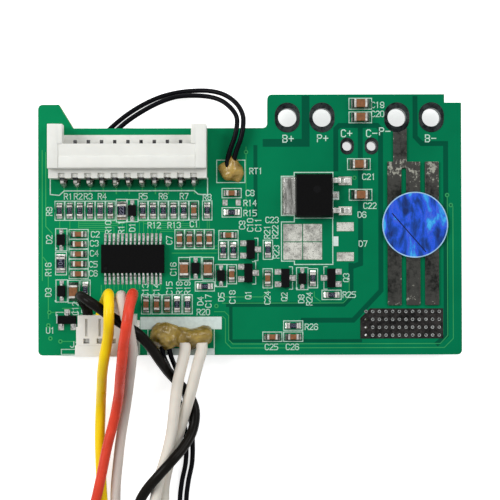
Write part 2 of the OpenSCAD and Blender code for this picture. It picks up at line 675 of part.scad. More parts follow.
// Square pin with one rounded bend, from its tip in the mouth to its soldered tail
module bent_pin(tip_y, tail_at_y, z) {
    bend_r = pin_a;
    translate([-pin_a / 2, 0, 0]) rotate([90, 0, 90]) linear_extrude(pin_a)
        polygon(concat(
            [[tip_y - 0.15, z - pin_a / 2], [tip_y, z - pin_a / 4],
                [tip_y, z + pin_a / 4], [tip_y - 0.15, z + pin_a / 2]],
            arc([tail_at_y + bend_r - pin_a / 2, z + pin_a / 2 - bend_r],
                bend_r, 90, 180),
            [[tail_at_y - pin_a / 2, -board_t - tail_below],
                [tail_at_y + pin_a / 2, -board_t - tail_below],
                [tail_at_y + pin_a / 2, z - pin_a / 2]]));
}

module cell_header_pins() {
    color("silver") on_board() for (i = [0:header_pins - 1])
        translate([first_pin_x + i * pin_pitch, 0, 0])
            bent_pin(roof_front_y + pin_reach, tail_y, pin_z);
}

module cell_header_joints() {
    color("gainsboro") on_board() for (i = [0:header_pins - 1])
        translate([first_pin_x + i * pin_pitch, tail_y, 0])
            pin_joint(tail_bore, pin_a);
}

// ---- communication header and plug ----

module comm_header_housing() {
    color("whitesmoke") on_board() translate([plug_x, base_near_y, 0])
        difference() {
            union() {
                translate([-comm_w / 2, 0, 0]) cube([comm_w, base_d, comm_h]);
                translate([-comm_w / 2, base_d, 0])
                    cube([comm_w, plug_l * 0.8, plug_floor_t]);
                for (s = [0, 1]) mirror([s, 0, 0])
                    translate([comm_w / 2 - cheek_t, base_d, 0])
                        cube([cheek_t, plug_l * 0.6, comm_h * 0.7]);
            }
            for (i = [0:plug_ways - 1])
                translate([-comm_row_l / 2 + i * pin_pitch, 0, 0]) {
                    translate([-pin_a / 2, base_d / 2 - pin_a / 2,
                        comm_pin_z - pin_a / 2])
                        cube([pin_a, base_d, pin_a]);
                    translate([-pin_a / 2, base_d / 2 - pin_a / 2, -over])
                        cube([pin_a, pin_a, comm_pin_z + pin_a / 2 + over]);
                    translate([0, base_d / 2, -over])
                        cylinder(r = joint_r + fit_gap,
                            h = over + joint_h + fit_gap);
                }
        }
}

module comm_header_pins() {
    color("silver") on_board() for (i = [0:plug_ways - 1])
        translate([plug_x - comm_row_l / 2 + i * pin_pitch - pin_a / 2,
            comm_tail_y - pin_a / 2, 0]) union() {
            translate([0, 0, -board_t - tail_below])
                cube([pin_a, pin_a, board_t + tail_below + comm_pin_z + pin_a / 2]);
            translate([0, 0, comm_pin_z - pin_a / 2])
                cube([pin_a, base_d / 2 + pin_a / 2 + plug_l * 0.35, pin_a]);
        }
}

module comm_header_joints() {
    color("gainsboro") on_board() for (i = [0:plug_ways - 1])
        translate([plug_x - comm_row_l / 2 + i * pin_pitch, comm_tail_y, 0])
            pin_joint(tail_bore, pin_a);
}

module comm_plug_housing() {
    color("white") on_board() translate([plug_x, base_far_y, plug_floor_t])
        difference() {
            translate([-plug_w / 2, 0, 0]) cube([plug_w, plug_l, plug_h]);
            for (i = [0:plug_ways - 1])
                translate([-comm_row_l / 2 + i * pin_pitch, 0, 0]) {
                    // round entry of the wire
                    translate([0, plug_l + over, plug_h / 2]) rotate([90, 0, 0])
                        cylinder(d = comm_wire_d + 2 * fit_gap,
                            h = wire_depth + over);
                    // chamber of the contact
                    translate([-contact_w / 2, -over, plug_h / 2 - contact_w / 2])
                        cube([contact_w, plug_l - wire_depth + 2 * over,
                            contact_w]);
                    // slot and latch window in the upper face
                    translate([-0.18, plug_l * 0.3, plug_h - 0.5])
                        cube([0.36, plug_l * 0.58, over + 0.5]);
                    translate([-0.45, plug_l * 0.06, plug_h / 2])
                        cube([0.9, plug_l * 0.17, plug_h]);
                }
        }
}

// Crimped contact that holds the pin at one end and the wire at the other
module comm_plug_contacts() {
    w = contact_w - 2 * fit_gap;
    grip = plug_l * 0.35;
    color("goldenrod") on_board() for (i = [0:plug_ways - 1])
        translate([plug_x - comm_row_l / 2 + i * pin_pitch, base_far_y,
            comm_pin_z]) difference() {
            translate([-w / 2, fit_gap, -w / 2])
                cube([w, plug_l - wire_depth - fit_gap, w]);
            translate([-pin_a / 2, -over, -pin_a / 2])
                cube([pin_a, grip + over, pin_a]);
            translate([-w / 2 - over, grip + 0.3, 0.15])
                cube([w + 2 * over, 0.5, w]);
        }
}

module comm_wire_black() { color("#161616") tube(black_route, comm_wire_d); }
module comm_wire_yellow() { color("gold") tube(yellow_route, comm_wire_d); }
module comm_wire_grey() { color("lightgray") tube(grey_route, comm_wire_d); }
module comm_wire_red() { color("crimson") tube(red_route, comm_wire_d); }

// Tinned strands that stick out of a wire's free end
module strands_after(route) {
    translate(last(route)) rotate([90, 0, 0])
        cylinder(d = strand_d, h = strand_l, $fn = 16);
}

module comm_wire_strands() {
    color("silver") for (r = [black_route, yellow_route, grey_route, red_route])
        strands_after(r);
}

module output_wire_strands() {
    color("silver") for (r = [left_output_route, right_output_route])
        strands_after(r);
}

// ---- soldered leads and sensors ----

module output_wire_left() { color("white") tube(left_output_route, output_wire_d); }
module output_wire_right() { color("white") tube(right_output_route, output_wire_d); }
module probe_wire_left() { color("#1c1c1c") tube(left_probe_route, sensor_wire_d); }
module probe_wire_right() { color("#1c1c1c") tube(right_probe_route, sensor_wire_d); }
module board_sensor_wire_outer() {
    color("#1c1c1c") tube(outer_sensor_route, sensor_wire_d);
}
module board_sensor_wire_inner() {
    color("#1c1c1c") tube(inner_sensor_route, sensor_wire_d);
}

// Dipped bead with a flat back where the two wires enter, pointing along -Y
module bead() {
    rotate([90, 0, 0]) rotate_extrude($fn = 32) polygon(concat([[0, 0]],
        [[bead_d / 2, 0]],
        arc([0, bead_l - bead_d / 2], bead_d / 2, 0, 90, 8)));
}

function middle(a, b) = (last(a) + last(b)) / 2;

module probe_bead() {
    color("#222222") translate(middle(left_probe_route, right_probe_route)) bead();
}

module board_sensor_bead() {
    color("#222222") translate(middle(outer_sensor_route, inner_sensor_route))
        bead();
}

// Bare strands of a soldered lead, from the wire's end to its hole and down it
module soldered_strands(p, start) {
    r = lead_strand_d / 2;
    z = start[2];
    translate([p[0], p[1], 0]) union() {
        translate([0, 0, under_h - 0.6]) cylinder(r = r, h = z - under_h + 0.6);
        translate([0, 0, z]) sphere(r);
        translate([0, 0, z]) rotate([start[1] > p[1] ? -90 : 90, 0, 0])
            cylinder(r = r, h = abs(start[1] - p[1]));
    }
}

lead_pairs = [[output_holes[0], left_output_route], [output_holes[1], right_output_route],
    [probe_holes[0], left_probe_route], [probe_holes[1], right_probe_route],
    [sensor_holes[0], inner_sensor_route], [sensor_holes[1], outer_sensor_route]];

module lead_strands() {
    color("silver") for (q = lead_pairs) soldered_strands(q[0], q[1][0]);
}

// Solder round each lead's strands, through the hole and on both faces
module lead_joints() {
    r = lead_strand_d / 2;
    rim = lead_rim_r;
    color("gainsboro") on_board() for (q = lead_pairs) translate(q[0])
        rotate_extrude($fn = 32) polygon([[r, 0.3], [rim, 0], [lead_bore / 2, 0],
            [lead_bore / 2, -board_t], [rim, -board_t], [r, -board_t - 0.5]]);
}

// Room for a lead and its soldered joint inside a heap of glue
module lead_room(p, start, d) {
    translate([p[0], p[1], board_top - over])
        cylinder(r = lead_rim_r + fit_gap, h = start[2] - board_top + over);
    translate([p[0], p[1], start[2]]) rotate([start[1] > p[1] ? -90 : 90, 0, 0])
        translate([0, 0, -0.6]) cylinder(d = d + 2 * fit_gap, h = 6, $fn = 24);
}

module sensor_glue() {
    color("#b8862f") difference() {
        on_board() translate([sensor_x, sensor_y, 0])
            above_board([6, 8, 3]) union() {
                translate([0, 0.2, 0]) heap(1.9, 1.7);
                translate([0, 1.4, 0]) heap(1.25, 1.35);
            }
        lead_room(sensor_holes[0], inner_sensor_route[0], sensor_wire_d);
        lead_room(sensor_holes[1], outer_sensor_route[0], sensor_wire_d);
    }
}

module output_glue() {
    color("#a97a2c") difference() {
        on_board() translate([output_holes[0][0] - 0.55, output_y, 0])
            above_board([14, 8, 3]) union() {
            translate([-2.7, -0.1, 0]) heap(2.2, 1.9);
            translate([-0.7, 0.5, 0]) heap(1.8, 1.5);
            translate([1.1, 0.2, 0]) heap(1.95, 1.9);
            translate([3, 0, 0]) heap(1.65, 1.8);
        }
        lead_room(output_holes[0], left_output_route[0], output_wire_d);
        lead_room(output_holes[1], right_output_route[0], output_wire_d);
        lead_room(probe_holes[0], left_probe_route[0], sensor_wire_d);
        lead_room(probe_holes[1], right_probe_route[0], sensor_wire_d);
    }
}

// ---- monitor chip ----

monitor_lift = 0.1;
monitor_seam = monitor_h * 0.55;
monitor_reach = 1;
monitor_foot = 0.55;

module monitor_places() {
    translate([monitor_at[0], monitor_at[1], 0]) for (s = [0, 180]) rotate(s)
        for (i = [0:monitor_ways - 1])
            translate([(i - (monitor_ways - 1) / 2) * monitor_pitch,
                monitor_w / 2, 0]) rotate(90) children();
}

module monitor_body() {
    low = monitor_seam - lead_t - monitor_lift;
    color("#181818") on_board()
        translate([monitor_at[0], monitor_at[1], land_t + monitor_lift]) difference() {
            moulded(monitor_l, monitor_w, monitor_h - monitor_lift, low, low + lead_t);
            translate([-monitor_l / 2 + 0.9, -monitor_w / 2 + 0.9,
                monitor_h - monitor_lift - 0.06]) cylinder(d = 0.8, h = 1);
        }
}

module monitor_leads() {
    color("silver") on_board() monitor_places()
        bent_lead(monitor_pitch * 0.38, lead_t, monitor_seam, monitor_reach,
            monitor_foot);
}

module monitor_joints() {
    color("gainsboro") on_board() monitor_places()
        translate([monitor_reach - 0.05, 0, 0]) land(1.5, monitor_pitch * 0.55);
}

// ---- power packages ----

pack_tab_run = 1.75;
pack_tab_w = 5.4;
pack_lead_w = 0.75;
pack_lead_reach = 2.75;
pack_lead_z = 1.35;

module pack_body() {
    translate([0, 0, land_t]) difference() {
        moulded(pack_l, pack_w, pack_h, pack_lead_z - pack_sheet_t, pack_lead_z);
        translate([-pack_l / 2 - over, -pack_tab_w / 2, -over])
            cube([pack_l * 0.8 + over, pack_tab_w, over + pack_sheet_t]);
    }
}

module pack_frame() {
    translate([-pack_l / 2 - pack_tab_run, -pack_tab_w / 2, land_t])
        cube([pack_l * 0.8 + pack_tab_run, pack_tab_w, pack_sheet_t]);
    for (s = [-1, 1]) translate([pack_l / 2, s * pack_lead_pitch / 2, 0])
        bent_lead(pack_lead_w, pack_sheet_t, pack_lead_z, pack_lead_reach, 1.2);
    translate([pack_l / 2, -pack_lead_w / 2, land_t + pack_lead_z - pack_sheet_t])
        cube([0.8, pack_lead_w, pack_sheet_t]);
}

module pack_lands() {
    translate([-pack_l / 2 - pack_tab_run / 2 + 0.75, 0, 0])
        land(pack_tab_run + 1.9, pack_tab_w + 0.4);
    for (s = [-1, 1])
        translate([pack_l / 2 + pack_lead_reach - 0.75, s * pack_lead_pitch / 2, 0])
            land(2, 1.3);
}

module charge_diode_body() {
    color("#141414") on_board() translate(charge_diode_at) pack_body();
}
module charge_diode_frame() {
    color("silver") on_board() translate(charge_diode_at) pack_frame();
}
module charge_diode_joints() {
    color("gainsboro") on_board() translate(charge_diode_at) pack_lands();
}
module power_transistor_bodies() {
    color("#141414") under_board() at(power_transistor_at) pack_body();
}
module power_transistor_frames() {
    color("silver") under_board() at(power_transistor_at) pack_frame();
}
module power_transistor_joints() {
    color("gainsboro") under_board() at(power_transistor_at) pack_lands();
}
module shunt_resistors() {
    color("#202020") under_board() at(shunt_at) chip(shunt_l, shunt_w, shunt_h);
}
module shunt_joints() {
    color("gainsboro") under_board() at(shunt_at)
        chip_solder(shunt_l, shunt_w * 0.9, shunt_h);
}

// ---- chips ----

module cell_row_resistors() {
    color("#2a2a2a") on_board() at(cell_row_resistor_at)
        chip(chip_l, chip_w, resistor_h);
}
module drive_resistors() {
    color("#2a2a2a") on_board() at(drive_resistor_at)
        chip(chip_l, chip_w, resistor_h);
}
module large_resistors() {
    color("#2a2a2a") on_board() at(large_resistor_at)
        chip(big_chip_l, big_chip_w, big_resistor_h);
}
module cell_row_capacitors() {
    color("peru") on_board() at(cell_row_capacitor_at)
        chip(chip_l, chip_w, capacitor_h);
}
module drive_capacitors() {
    color("peru") on_board() at(drive_capacitor_at)
        chip(chip_l, chip_w, capacitor_h);
}
module large_capacitors() {
    color("peru") on_board() at(large_capacitor_at)
        chip(big_chip_l, big_chip_w, big_capacitor_h);
}

module chip_joints() {
    color("gainsboro") on_board() {
        at(concat(cell_row_resistor_at, drive_resistor_at))
            chip_solder(chip_l, chip_w, resistor_h);
        at(concat(cell_row_capacitor_at, drive_capacitor_at))
            chip_solder(chip_l, chip_w, capacitor_h);
        at(large_resistor_at) chip_solder(big_chip_l, big_chip_w, big_resistor_h);
        at(large_capacitor_at) chip_solder(big_chip_l, big_chip_w, big_capacitor_h);
        at(empty_chip_at) for (s = [-1, 1])
            translate([s * (chip_l + land_run) / 2, 0, 0])
                land(band_l + land_run, chip_w * 1.1);
    }
}

// ---- small packages ----

small_diode_l = 1.7;
small_diode_w = 1.25;
small_diode_h = 0.9;
transistor_l = 2.9;
transistor_w = 1.3;
transistor_h = 1;
transistor_step = 0.95;

module small_diode_bodies() {
    color("#1b1b1b") on_board() at(small_diode_at) translate([0, 0, land_t])
        moulded(small_diode_l, small_diode_w, small_diode_h, 0.35, 0.35 + lead_t);
}

module small_diode_leads() {
    color("silver") on_board() at(small_diode_at) for (s = [0, 180]) rotate(s)
        translate([small_diode_l / 2, 0, 0])
            bent_lead(0.32, lead_t, 0.35 + lead_t, 0.5, 0.25);
}

module transistor_bodies() {
    color("#1b1b1b") on_board() at(transistor_at) translate([0, 0, land_t])
        moulded(transistor_w, transistor_l, transistor_h, 0.4, 0.4 + lead_t);
}

module transistor_sides() {
    for (q = [[180, 0], [0, -1], [0, 1]])
        rotate(q[0]) translate([transistor_w / 2, q[1] * transistor_step, 0])
            children();
}

module transistor_leads() {
    color("silver") on_board() at(transistor_at) transistor_sides()
        bent_lead(0.42, lead_t, 0.4 + lead_t, 0.6, 0.3);
}

module small_package_joints() {
    color("gainsboro") on_board() {
        at(small_diode_at) for (s = [0, 180]) rotate(s)
            translate([small_diode_l / 2 + 0.45, 0, 0]) land(0.6, 0.6);
        at(transistor_at) transistor_sides() translate([0.5, 0, 0]) land(0.9, 0.85);
    }
}

circuit_board();
wire_terminals();
power_track_solder();
via_field();
open_footprint_lands();
cell_header_housing();
cell_header_pins();
cell_header_joints();
comm_header_housing();
comm_header_pins();
comm_header_joints();
comm_plug_housing();
comm_plug_contacts();
comm_wire_black();
comm_wire_yellow();
comm_wire_grey();
comm_wire_red();
comm_wire_strands();
output_wire_left();
output_wire_right();
output_wire_strands();
probe_wire_left();
probe_wire_right();
probe_bead();
board_sensor_wire_outer();
board_sensor_wire_inner();
board_sensor_bead();
sensor_glue();
output_glue();
lead_strands();
lead_joints();
monitor_body();
monitor_leads();
monitor_joints();
charge_diode_body();
charge_diode_frame();
charge_diode_joints();
cell_row_resistors();
drive_resistors();
large_resistors();
cell_row_capacitors();
drive_capacitors();
large_capacitors();
chip_joints();
small_diode_bodies();
small_diode_leads();
transistor_bodies();
transistor_leads();
small_package_joints();
power_transistor_bodies();
power_transistor_frames();
power_transistor_joints();
shunt_resistors();
shunt_joints();
inspection_sticker();
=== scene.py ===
import json
import math
import bmesh
import bpy
from mathutils import Matrix, Vector, noise


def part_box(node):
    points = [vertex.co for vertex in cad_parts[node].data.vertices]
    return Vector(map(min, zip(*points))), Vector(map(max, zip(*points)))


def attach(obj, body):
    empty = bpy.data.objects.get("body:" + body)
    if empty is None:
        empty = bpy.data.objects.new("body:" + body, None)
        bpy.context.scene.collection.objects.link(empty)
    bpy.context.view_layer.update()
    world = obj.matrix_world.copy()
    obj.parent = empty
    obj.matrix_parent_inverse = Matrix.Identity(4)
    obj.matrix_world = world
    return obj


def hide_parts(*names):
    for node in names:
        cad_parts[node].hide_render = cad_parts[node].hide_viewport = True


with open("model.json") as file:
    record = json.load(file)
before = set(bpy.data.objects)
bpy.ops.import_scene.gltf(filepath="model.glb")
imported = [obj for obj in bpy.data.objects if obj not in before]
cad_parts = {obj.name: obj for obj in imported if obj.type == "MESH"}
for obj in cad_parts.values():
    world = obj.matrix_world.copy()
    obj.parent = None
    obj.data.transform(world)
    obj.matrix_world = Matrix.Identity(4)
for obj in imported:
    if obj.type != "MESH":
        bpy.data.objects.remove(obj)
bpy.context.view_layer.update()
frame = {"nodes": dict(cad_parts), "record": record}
nodes = frame["nodes"]
mm = 0.001
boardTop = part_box("circuit_board")[1][2]
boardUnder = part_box("circuit_board")[0][2]
sameSpot = 2e-6  # corners nearer than this are one
seatLift = 0.02  # glue and domes start this far above the board, in millimetres


def seatPiece(piece):
    # every piece rides on the board's one body
    bpy.context.collection.objects.link(piece)
    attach(piece, "root")
    return piece


def finishPiece(name, bm, tones, smoothAngle=None):
    # bmesh to a piece, its materials named with spaces between them
    mesh = bpy.data.meshes.new(name)
    bm.to_mesh(mesh)
    bm.free()
    for tone in tones.split():
        mesh.materials.append(mats[tone])
    if smoothAngle is not None:
        mesh.shade_smooth()
        mesh.set_sharp_from_angle(angle=math.radians(smoothAngle))
    return seatPiece(bpy.data.objects.new(name, mesh))


def flatPiece(name, bm, tone, way=1):
    # flat art, all of it facing up, or down with a way of -1
    for f in bm.faces:
        if f.normal.z * way < 0:
            f.normal_flip()
    return finishPiece(name, bm, tone)


def bakeModifiers(piece):
    # swaps the piece's mesh for what its modifiers make of it
    graph = bpy.context.evaluated_depsgraph_get()
    made = bpy.data.meshes.new_from_object(piece.evaluated_get(graph))
    piece.modifiers.clear()
    old = piece.data
    piece.data = made
    bpy.data.meshes.remove(old)


def boxInMm(nodeName):
    return [Vector(c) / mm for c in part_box(nodeName)]


def middleOf(box):
    return (box[0] + box[1]) / 2


def islands(nodeName):
    # corners of each separate solid of a CAD node, from left to right
    bm = bmesh.new()
    bm.from_mesh(nodes[nodeName].data)
    bmesh.ops.remove_doubles(bm, verts=bm.verts, dist=sameSpot)
    seen, found = set(), []
    for start in bm.verts:
        if start in seen:
            continue
        seen.add(start)
        group, queue = [], [start]
        while queue:
            v = queue.pop()
            group.append(v.co.copy())
            for e in v.link_edges:
                other = e.other_vert(v)
                if other not in seen:
                    seen.add(other)
                    queue.append(other)
        low = Vector([min(p[k] for p in group) for k in range(3)])
        high = Vector([max(p[k] for p in group) for k in range(3)])
        found.append((low, high))
    bm.free()
    return sorted(found, key=lambda b: (round(b[0].x, 5), round(b[0].y, 5)))


ribbonCount = [0]


def ribbon(bm, route, width, z, closed=False):
    # flat strip along a route in millimetres, with mitred corners
    pts = [Vector((x, y)) * mm for x, y in route]
    n = len(pts)
    ribbonCount[0] += 1
    level = z + (ribbonCount[0] % 9) * 4e-7  # keeps strips that cross out of one plane
    pairs = []
    for i, p in enumerate(pts):
        before = pts[i - 1] if i > 0 or closed else None
        after = pts[(i + 1) % n] if i < n - 1 or closed else None
        ways = [w.normalized() for w in
                ([p - before] if before is not None else []) +
                ([after - p] if after is not None else [])]
        way = sum(ways, Vector((0, 0))).normalized()
        side = Vector((-way.y, way.x))
        spread = width * mm / 2 / max(0.45, side.dot(Vector((-ways[0].y, ways[0].x))))
        if not closed and i in (0, n - 1):
            p = p + way * width * mm / 2 * (1 if i else -1)
        pairs.append((p + side * spread, p - side * spread))
    a = bm.verts.new((*pairs[0][0], level))
    b = bm.verts.new((*pairs[0][1], level))
    first = edge = bm.edges.new((a, b))
    for left, right in pairs[1:]:
        made = bmesh.ops.extrude_edge_only(bm, edges=[edge])["geom"]
        edge = next(g for g in made if isinstance(g, bmesh.types.BMEdge))
        edge.verts[0].co = (*left, level)
        edge.verts[1].co = (*right, level)
    if closed:
        bmesh.ops.bridge_loops(bm, edges=[edge, first])
    bm.normal_update()


def patch(bm, low, high, z):
    # filled rectangle in millimetres
    made = bmesh.ops.create_grid(bm, x_segments=1, y_segments=1, size=0.5)["verts"]
    bmesh.ops.scale(bm, vec=((high[0] - low[0]) * mm, (high[1] - low[1]) * mm, 1), verts=made)
    bmesh.ops.translate(bm, vec=((high[0] + low[0]) / 2 * mm, (high[1] + low[1]) / 2 * mm, z),
                        verts=made)


def disc(bm, x, y, r, z, segments=20):
    made = bmesh.ops.create_circle(bm, cap_ends=True, segments=segments, radius=r * mm)["verts"]
    bmesh.ops.translate(bm, vec=(x * mm, y * mm, z), verts=made)

def flatRing(bm, x, y, outerR, innerR, z, segments):
    made = [v for r in (outerR, innerR)
            for v in bmesh.ops.create_circle(bm, segments=segments, radius=r * mm)["verts"]]
    bmesh.ops.translate(bm, vec=(x * mm, y * mm, z), verts=made)
    bmesh.ops.bridge_loops(bm, edges=list({e for v in made for e in v.link_edges}))


def boxPiece(bm, low, high, bevelWidth=0.0, segments=2):
    # block between two corners in metres, with rounded edges
    made = bmesh.ops.create_cube(bm, size=1)["verts"]
    bmesh.ops.scale(bm, vec=[high[k] - low[k] for k in range(3)], verts=made)
    bmesh.ops.translate(bm, vec=[(high[k] + low[k]) / 2 for k in range(3)], verts=made)
    if bevelWidth:
        edges = list({e for v in made for e in v.link_edges})
        bmesh.ops.bevel(bm, geom=edges, offset=bevelWidth, segments=segments,
                        profile=0.5, affect="EDGES", material=-1)


def frameBetween(bm, x0, y0, x1, y1, width, z):
    # closed rectangle between two corners in millimetres
    ribbon(bm, [(x0, y0), (x1, y0), (x1, y1), (x0, y1)], width, z, closed=True)


def cutAtBoard(bm):
    # takes off what lies under the board's upper face
    bmesh.ops.bisect_plane(bm, geom=bm.verts[:] + bm.edges[:] + bm.faces[:],
                           plane_co=(0, 0, boardTop + seatLift * mm), plane_no=(0, 0, 1),
                           clear_inner=True)


mats = {}


class Finish:
    # a material, with short hand for its nodes
    def __init__(self, name, colour, rough=0.5, metal=0.0, **sockets):
        mats[name] = material = bpy.data.materials.new(name)
        material.use_nodes = True
        material.diffuse_color = (*colour, 1)
        self.tree = material.node_tree
        self.shader = self.tree.nodes["Principled BSDF"]
        self.sets(Base_Color=(*colour, 1), Roughness=rough, Metallic=metal, **sockets)
        self.spot = self.add("ShaderNodeTexCoord").outputs["Object"]

    def sets(self, **sockets):
        for key, value in sockets.items():
            self.shader.inputs[key.replace("_", " ")].default_value = value

    def add(self, kind, **settings):
        node = self.tree.nodes.new(kind)
        for key, value in settings.items():
            setattr(node, key, value)
        return node

    def link(self, source, target):
        self.tree.links.new(source, target)

    def feed(self, node, names, values):
        # constants onto a node's sockets
        for key, value in zip(names, values):
            node.inputs[key].default_value = value

    def place(self, scale, turn=(0, 0, 0)):
        node = self.add("ShaderNodeMapping")
        self.feed(node, ("Scale", "Rotation"), (scale, turn))
        self.link(self.spot, node.inputs["Vector"])
        return node.outputs["Vector"]

    def noise(self, scale, detail=3.0, rough=0.5, vector=None, distort=0.0):
        node = self.add("ShaderNodeTexNoise")
        self.feed(node, ("Scale", "Detail", "Roughness", "Distortion"),
                  (scale, detail, rough, distort))
        self.link(vector or self.spot, node.inputs["Vector"])
        return node.outputs["Fac"]

    def ramp(self, fac, stops):
        node = self.add("ShaderNodeValToRGB")
        points = node.color_ramp.elements
        while len(points) < len(stops):
            points.new(0.5)
        for point, (at, colour) in zip(points, stops):
            point.position = at
            point.color = (*(colour if isinstance(colour, tuple) else (colour,) * 3), 1)
        self.link(fac, node.inputs["Fac"])
        return node.outputs["Color"]

    def join(self, socket, value):
        # a socket takes a number, a colour or a link
        if isinstance(value, (int, float)):
            socket.default_value = value
        elif isinstance(value, tuple):
            socket.default_value = (*value, 1)
        else:
            self.link(value, socket)

    def mix(self, fac, a, b):
        node = self.add("ShaderNodeMix", data_type="RGBA")
        for index, value in ((0, fac), (6, a), (7, b)):
            self.join(node.inputs[index], value)
        return node.outputs[2]

    def maths(self, operation, a, b):
        node = self.add("ShaderNodeMath", operation=operation)
        self.join(node.inputs[0], a)
        self.join(node.inputs[1], b)
        return node.outputs[0]

    def blend(self, a, b, share):
        return self.maths("ADD", self.maths("MULTIPLY", a, share),
                          self.maths("MULTIPLY", b, round(1 - share, 2)))

    def along(self, axis, source=None):
        node = self.add("ShaderNodeSeparateXYZ")
        self.link(source or self.spot, node.inputs["Vector"])
        return node.outputs[axis]

    def between(self, value, near, far, share=1.0):
        node = self.add("ShaderNodeMapRange")
        self.feed(node, ("From Min", "From Max", "To Max"), (near, far, share))
        self.link(value, node.inputs["Value"])
        return node.outputs["Result"]

    def height(self, fac, strength, distance):
        node = self.add("ShaderNodeBump")
        self.feed(node, ("Strength", "Distance"), (strength, distance))
        self.link(fac, node.inputs["Height"])
        self.link(node.outputs["Normal"], self.shader.inputs["Normal"])

    def colour(self, socket):
        self.link(socket, self.shader.inputs["Base Color"])

    def rough(self, socket):
        self.link(socket, self.shader.inputs["Roughness"])


def darkToPale(colour, share):
    return [(0.3, tuple(c * (1 - share) for c in colour)),
            (0.7, tuple(min(1, c * (1 + share)) for c in colour))]


def maskMaterial(name, tone, spread=0.12):
    # gloss solder mask with the glass weave showing faintly under it
    w = Finish(name, tone, 0.30, Specular_IOR_Level=0.025, Coat_Weight=0.02, Coat_Roughness=0.12)
    weave = w.maths("ADD", w.noise(3000, 1, vector=w.place((1, 0.12, 1))),
                    w.noise(3000, 1, vector=w.place((0.12, 1, 1))))
    base = w.ramp(w.noise(110, 3, 0.55), darkToPale(tone, spread))
    # painted sheen: the board's left end is paler than its right end
    pale = (tone[0] * 1.6 + 0.0015, min(1, tone[1] * 1.5), min(1, tone[2] * 1.3))
    base = w.mix(w.between(w.along("X"), 0.012, -0.033), base, pale)
    fine = w.ramp(weave, [(0.38, 0.0), (0.62, 1.0)])
    w.colour(w.mix(w.maths("MULTIPLY", fine, 0.16), base, tuple(min(1, c * 1.5) for c in tone)))
    w.height(weave, 0.10, 0.00003)


def laminateEdge():
    # cut edge of the glass laminate: thin layers
    w = Finish("laminateEdge", (0.30, 0.33, 0.16), 0.75)
    layers = w.noise(3000, 2, vector=w.place((0.05, 0.05, 3)))
    w.colour(w.ramp(layers, [(0.35, (0.20, 0.26, 0.10)), (0.65, (0.46, 0.46, 0.26))]))
    w.height(layers, 0.3, 0.00004)


def solderMaterial(name, bright, dark, rough, scale, rim=None):
    # tin with grains; where the metal falls away steeply it takes the rim's tone, which is painted
    # shade
    w = Finish(name, bright, rough, 1.0)
    tone = w.ramp(w.noise(scale, 4, 0.6), [(0.32, dark), (0.6, bright)])
    if rim:
        upright = w.along("Z", w.add("ShaderNodeNewGeometry").outputs["Normal"])
        steep = w.ramp(w.maths("ABSOLUTE", upright, 0), [(0.35, 1.0), (0.86, 0.0)])
        tone = w.mix(steep, tone, rim)
    w.colour(tone)
    w.rough(w.ramp(w.noise(scale * 0.6, 3), [(0.3, rough * 0.7), (0.7, min(1, rough * 1.7))]))
    w.height(w.noise(scale * 0.5, 3, 0.5), 0.30, 0.00006)


def speckledLand(name, bright, dark, scale, at, rough, soft, metal=0.85, grain=(1, 1, 1)):
    # tinned copper that has gone dark in spots
    w = Finish(name, bright, rough, metal, Specular_IOR_Level=0.3)
    where = w.place(grain)
    spots = w.noise(scale, 5, 0.72, vector=where)
    both = w.blend(spots, w.noise(scale * 0.16, 2, 0.5, vector=where), 0.62)
    tone = w.ramp(both, [(at - soft, dark), (at + soft, bright)])
    flecks = w.ramp(w.noise(5200, 3, 0.7), [(0.36, 0.75), (0.46, 0.0)])
    w.colour(w.mix(flecks, tone, dark))
    w.rough(w.ramp(spots, [(0.3, min(1, rough * 1.7)), (0.7, rough * 0.8)]))
    w.height(both, 0.4, 0.00008)


def trackSolder(name, dark, mid, pale):
    # dull solder on the heavy tracks, brighter and blotchy towards both ends
    w = Finish(name, mid, 0.5, 0.8, Specular_IOR_Level=0.2)
    y = w.along("Y")
    a, b, c = [w.between(y, *run) for run in
               ((0.0050, 0.0095, 0.15), (0.0099, 0.0108, -0.13), (-0.0098, -0.0125, 0.13))]
    lift = w.maths("ADD", w.maths("ADD", a, b), c)
    both = w.blend(w.noise(1500, 5, 0.7), w.noise(420, 3, 0.6, vector=w.place((1, 0.4, 1))), 0.55)
    w.colour(w.ramp(w.maths("ADD", both, lift),
                    [(0.40, dark), (0.54, mid), (0.62, mid), (0.66, pale)]))
    w.height(both, 0.5, 0.00008)


def stickerMaterial(name):
    # blue rainbow foil, streaked across
    w = Finish(name, (0.01, 0.1, 0.7), 0.25, 0.35, Specular_IOR_Level=0.2)
    streak = w.noise(620, 4, 0.55, vector=w.place((1, 0.34, 1), (0, 0, 0.2)), distort=0.5)
    blues = w.ramp(streak, [(0.34, (0.006, 0.022, 0.13)), (0.43, (0.008, 0.060, 0.36)),
                            (0.50, (0.016, 0.10, 0.78)), (0.56, (0.055, 0.12, 0.72)),
                            (0.59, (0.020, 0.22, 0.82)), (0.65, (0.06, 0.46, 0.90))])
    dust = w.noise(5200, 3, 0.7)
    w.colour(w.mix(w.ramp(dust, [(0.38, 0.28), (0.62, 0.0)]), blues, (0.012, 0.03, 0.10)))
    w.height(dust, 0.15, 0.00003)


def glueMaterial(name, pale, deep, scale=420):
    # amber fixing glue: clear skin over a cloudy body
    w = Finish(name, pale, 0.14, Specular_IOR_Level=0.3, Coat_Weight=0.12, Coat_Roughness=0.05,
               Transmission_Weight=0.15, IOR=1.46, Subsurface_Weight=0.15, Subsurface_Scale=0.0008,
               Subsurface_Radius=(1.0, 0.7, 0.25))
    w.colour(w.ramp(w.noise(scale, 4, 0.55, distort=0.6), [(0.34, deep), (0.62, pale)]))
    w.rough(w.ramp(w.noise(scale * 3, 2), [(0.3, 0.10), (0.7, 0.24)]))
    w.height(w.noise(scale * 1.6, 3), 0.3, 0.00012)


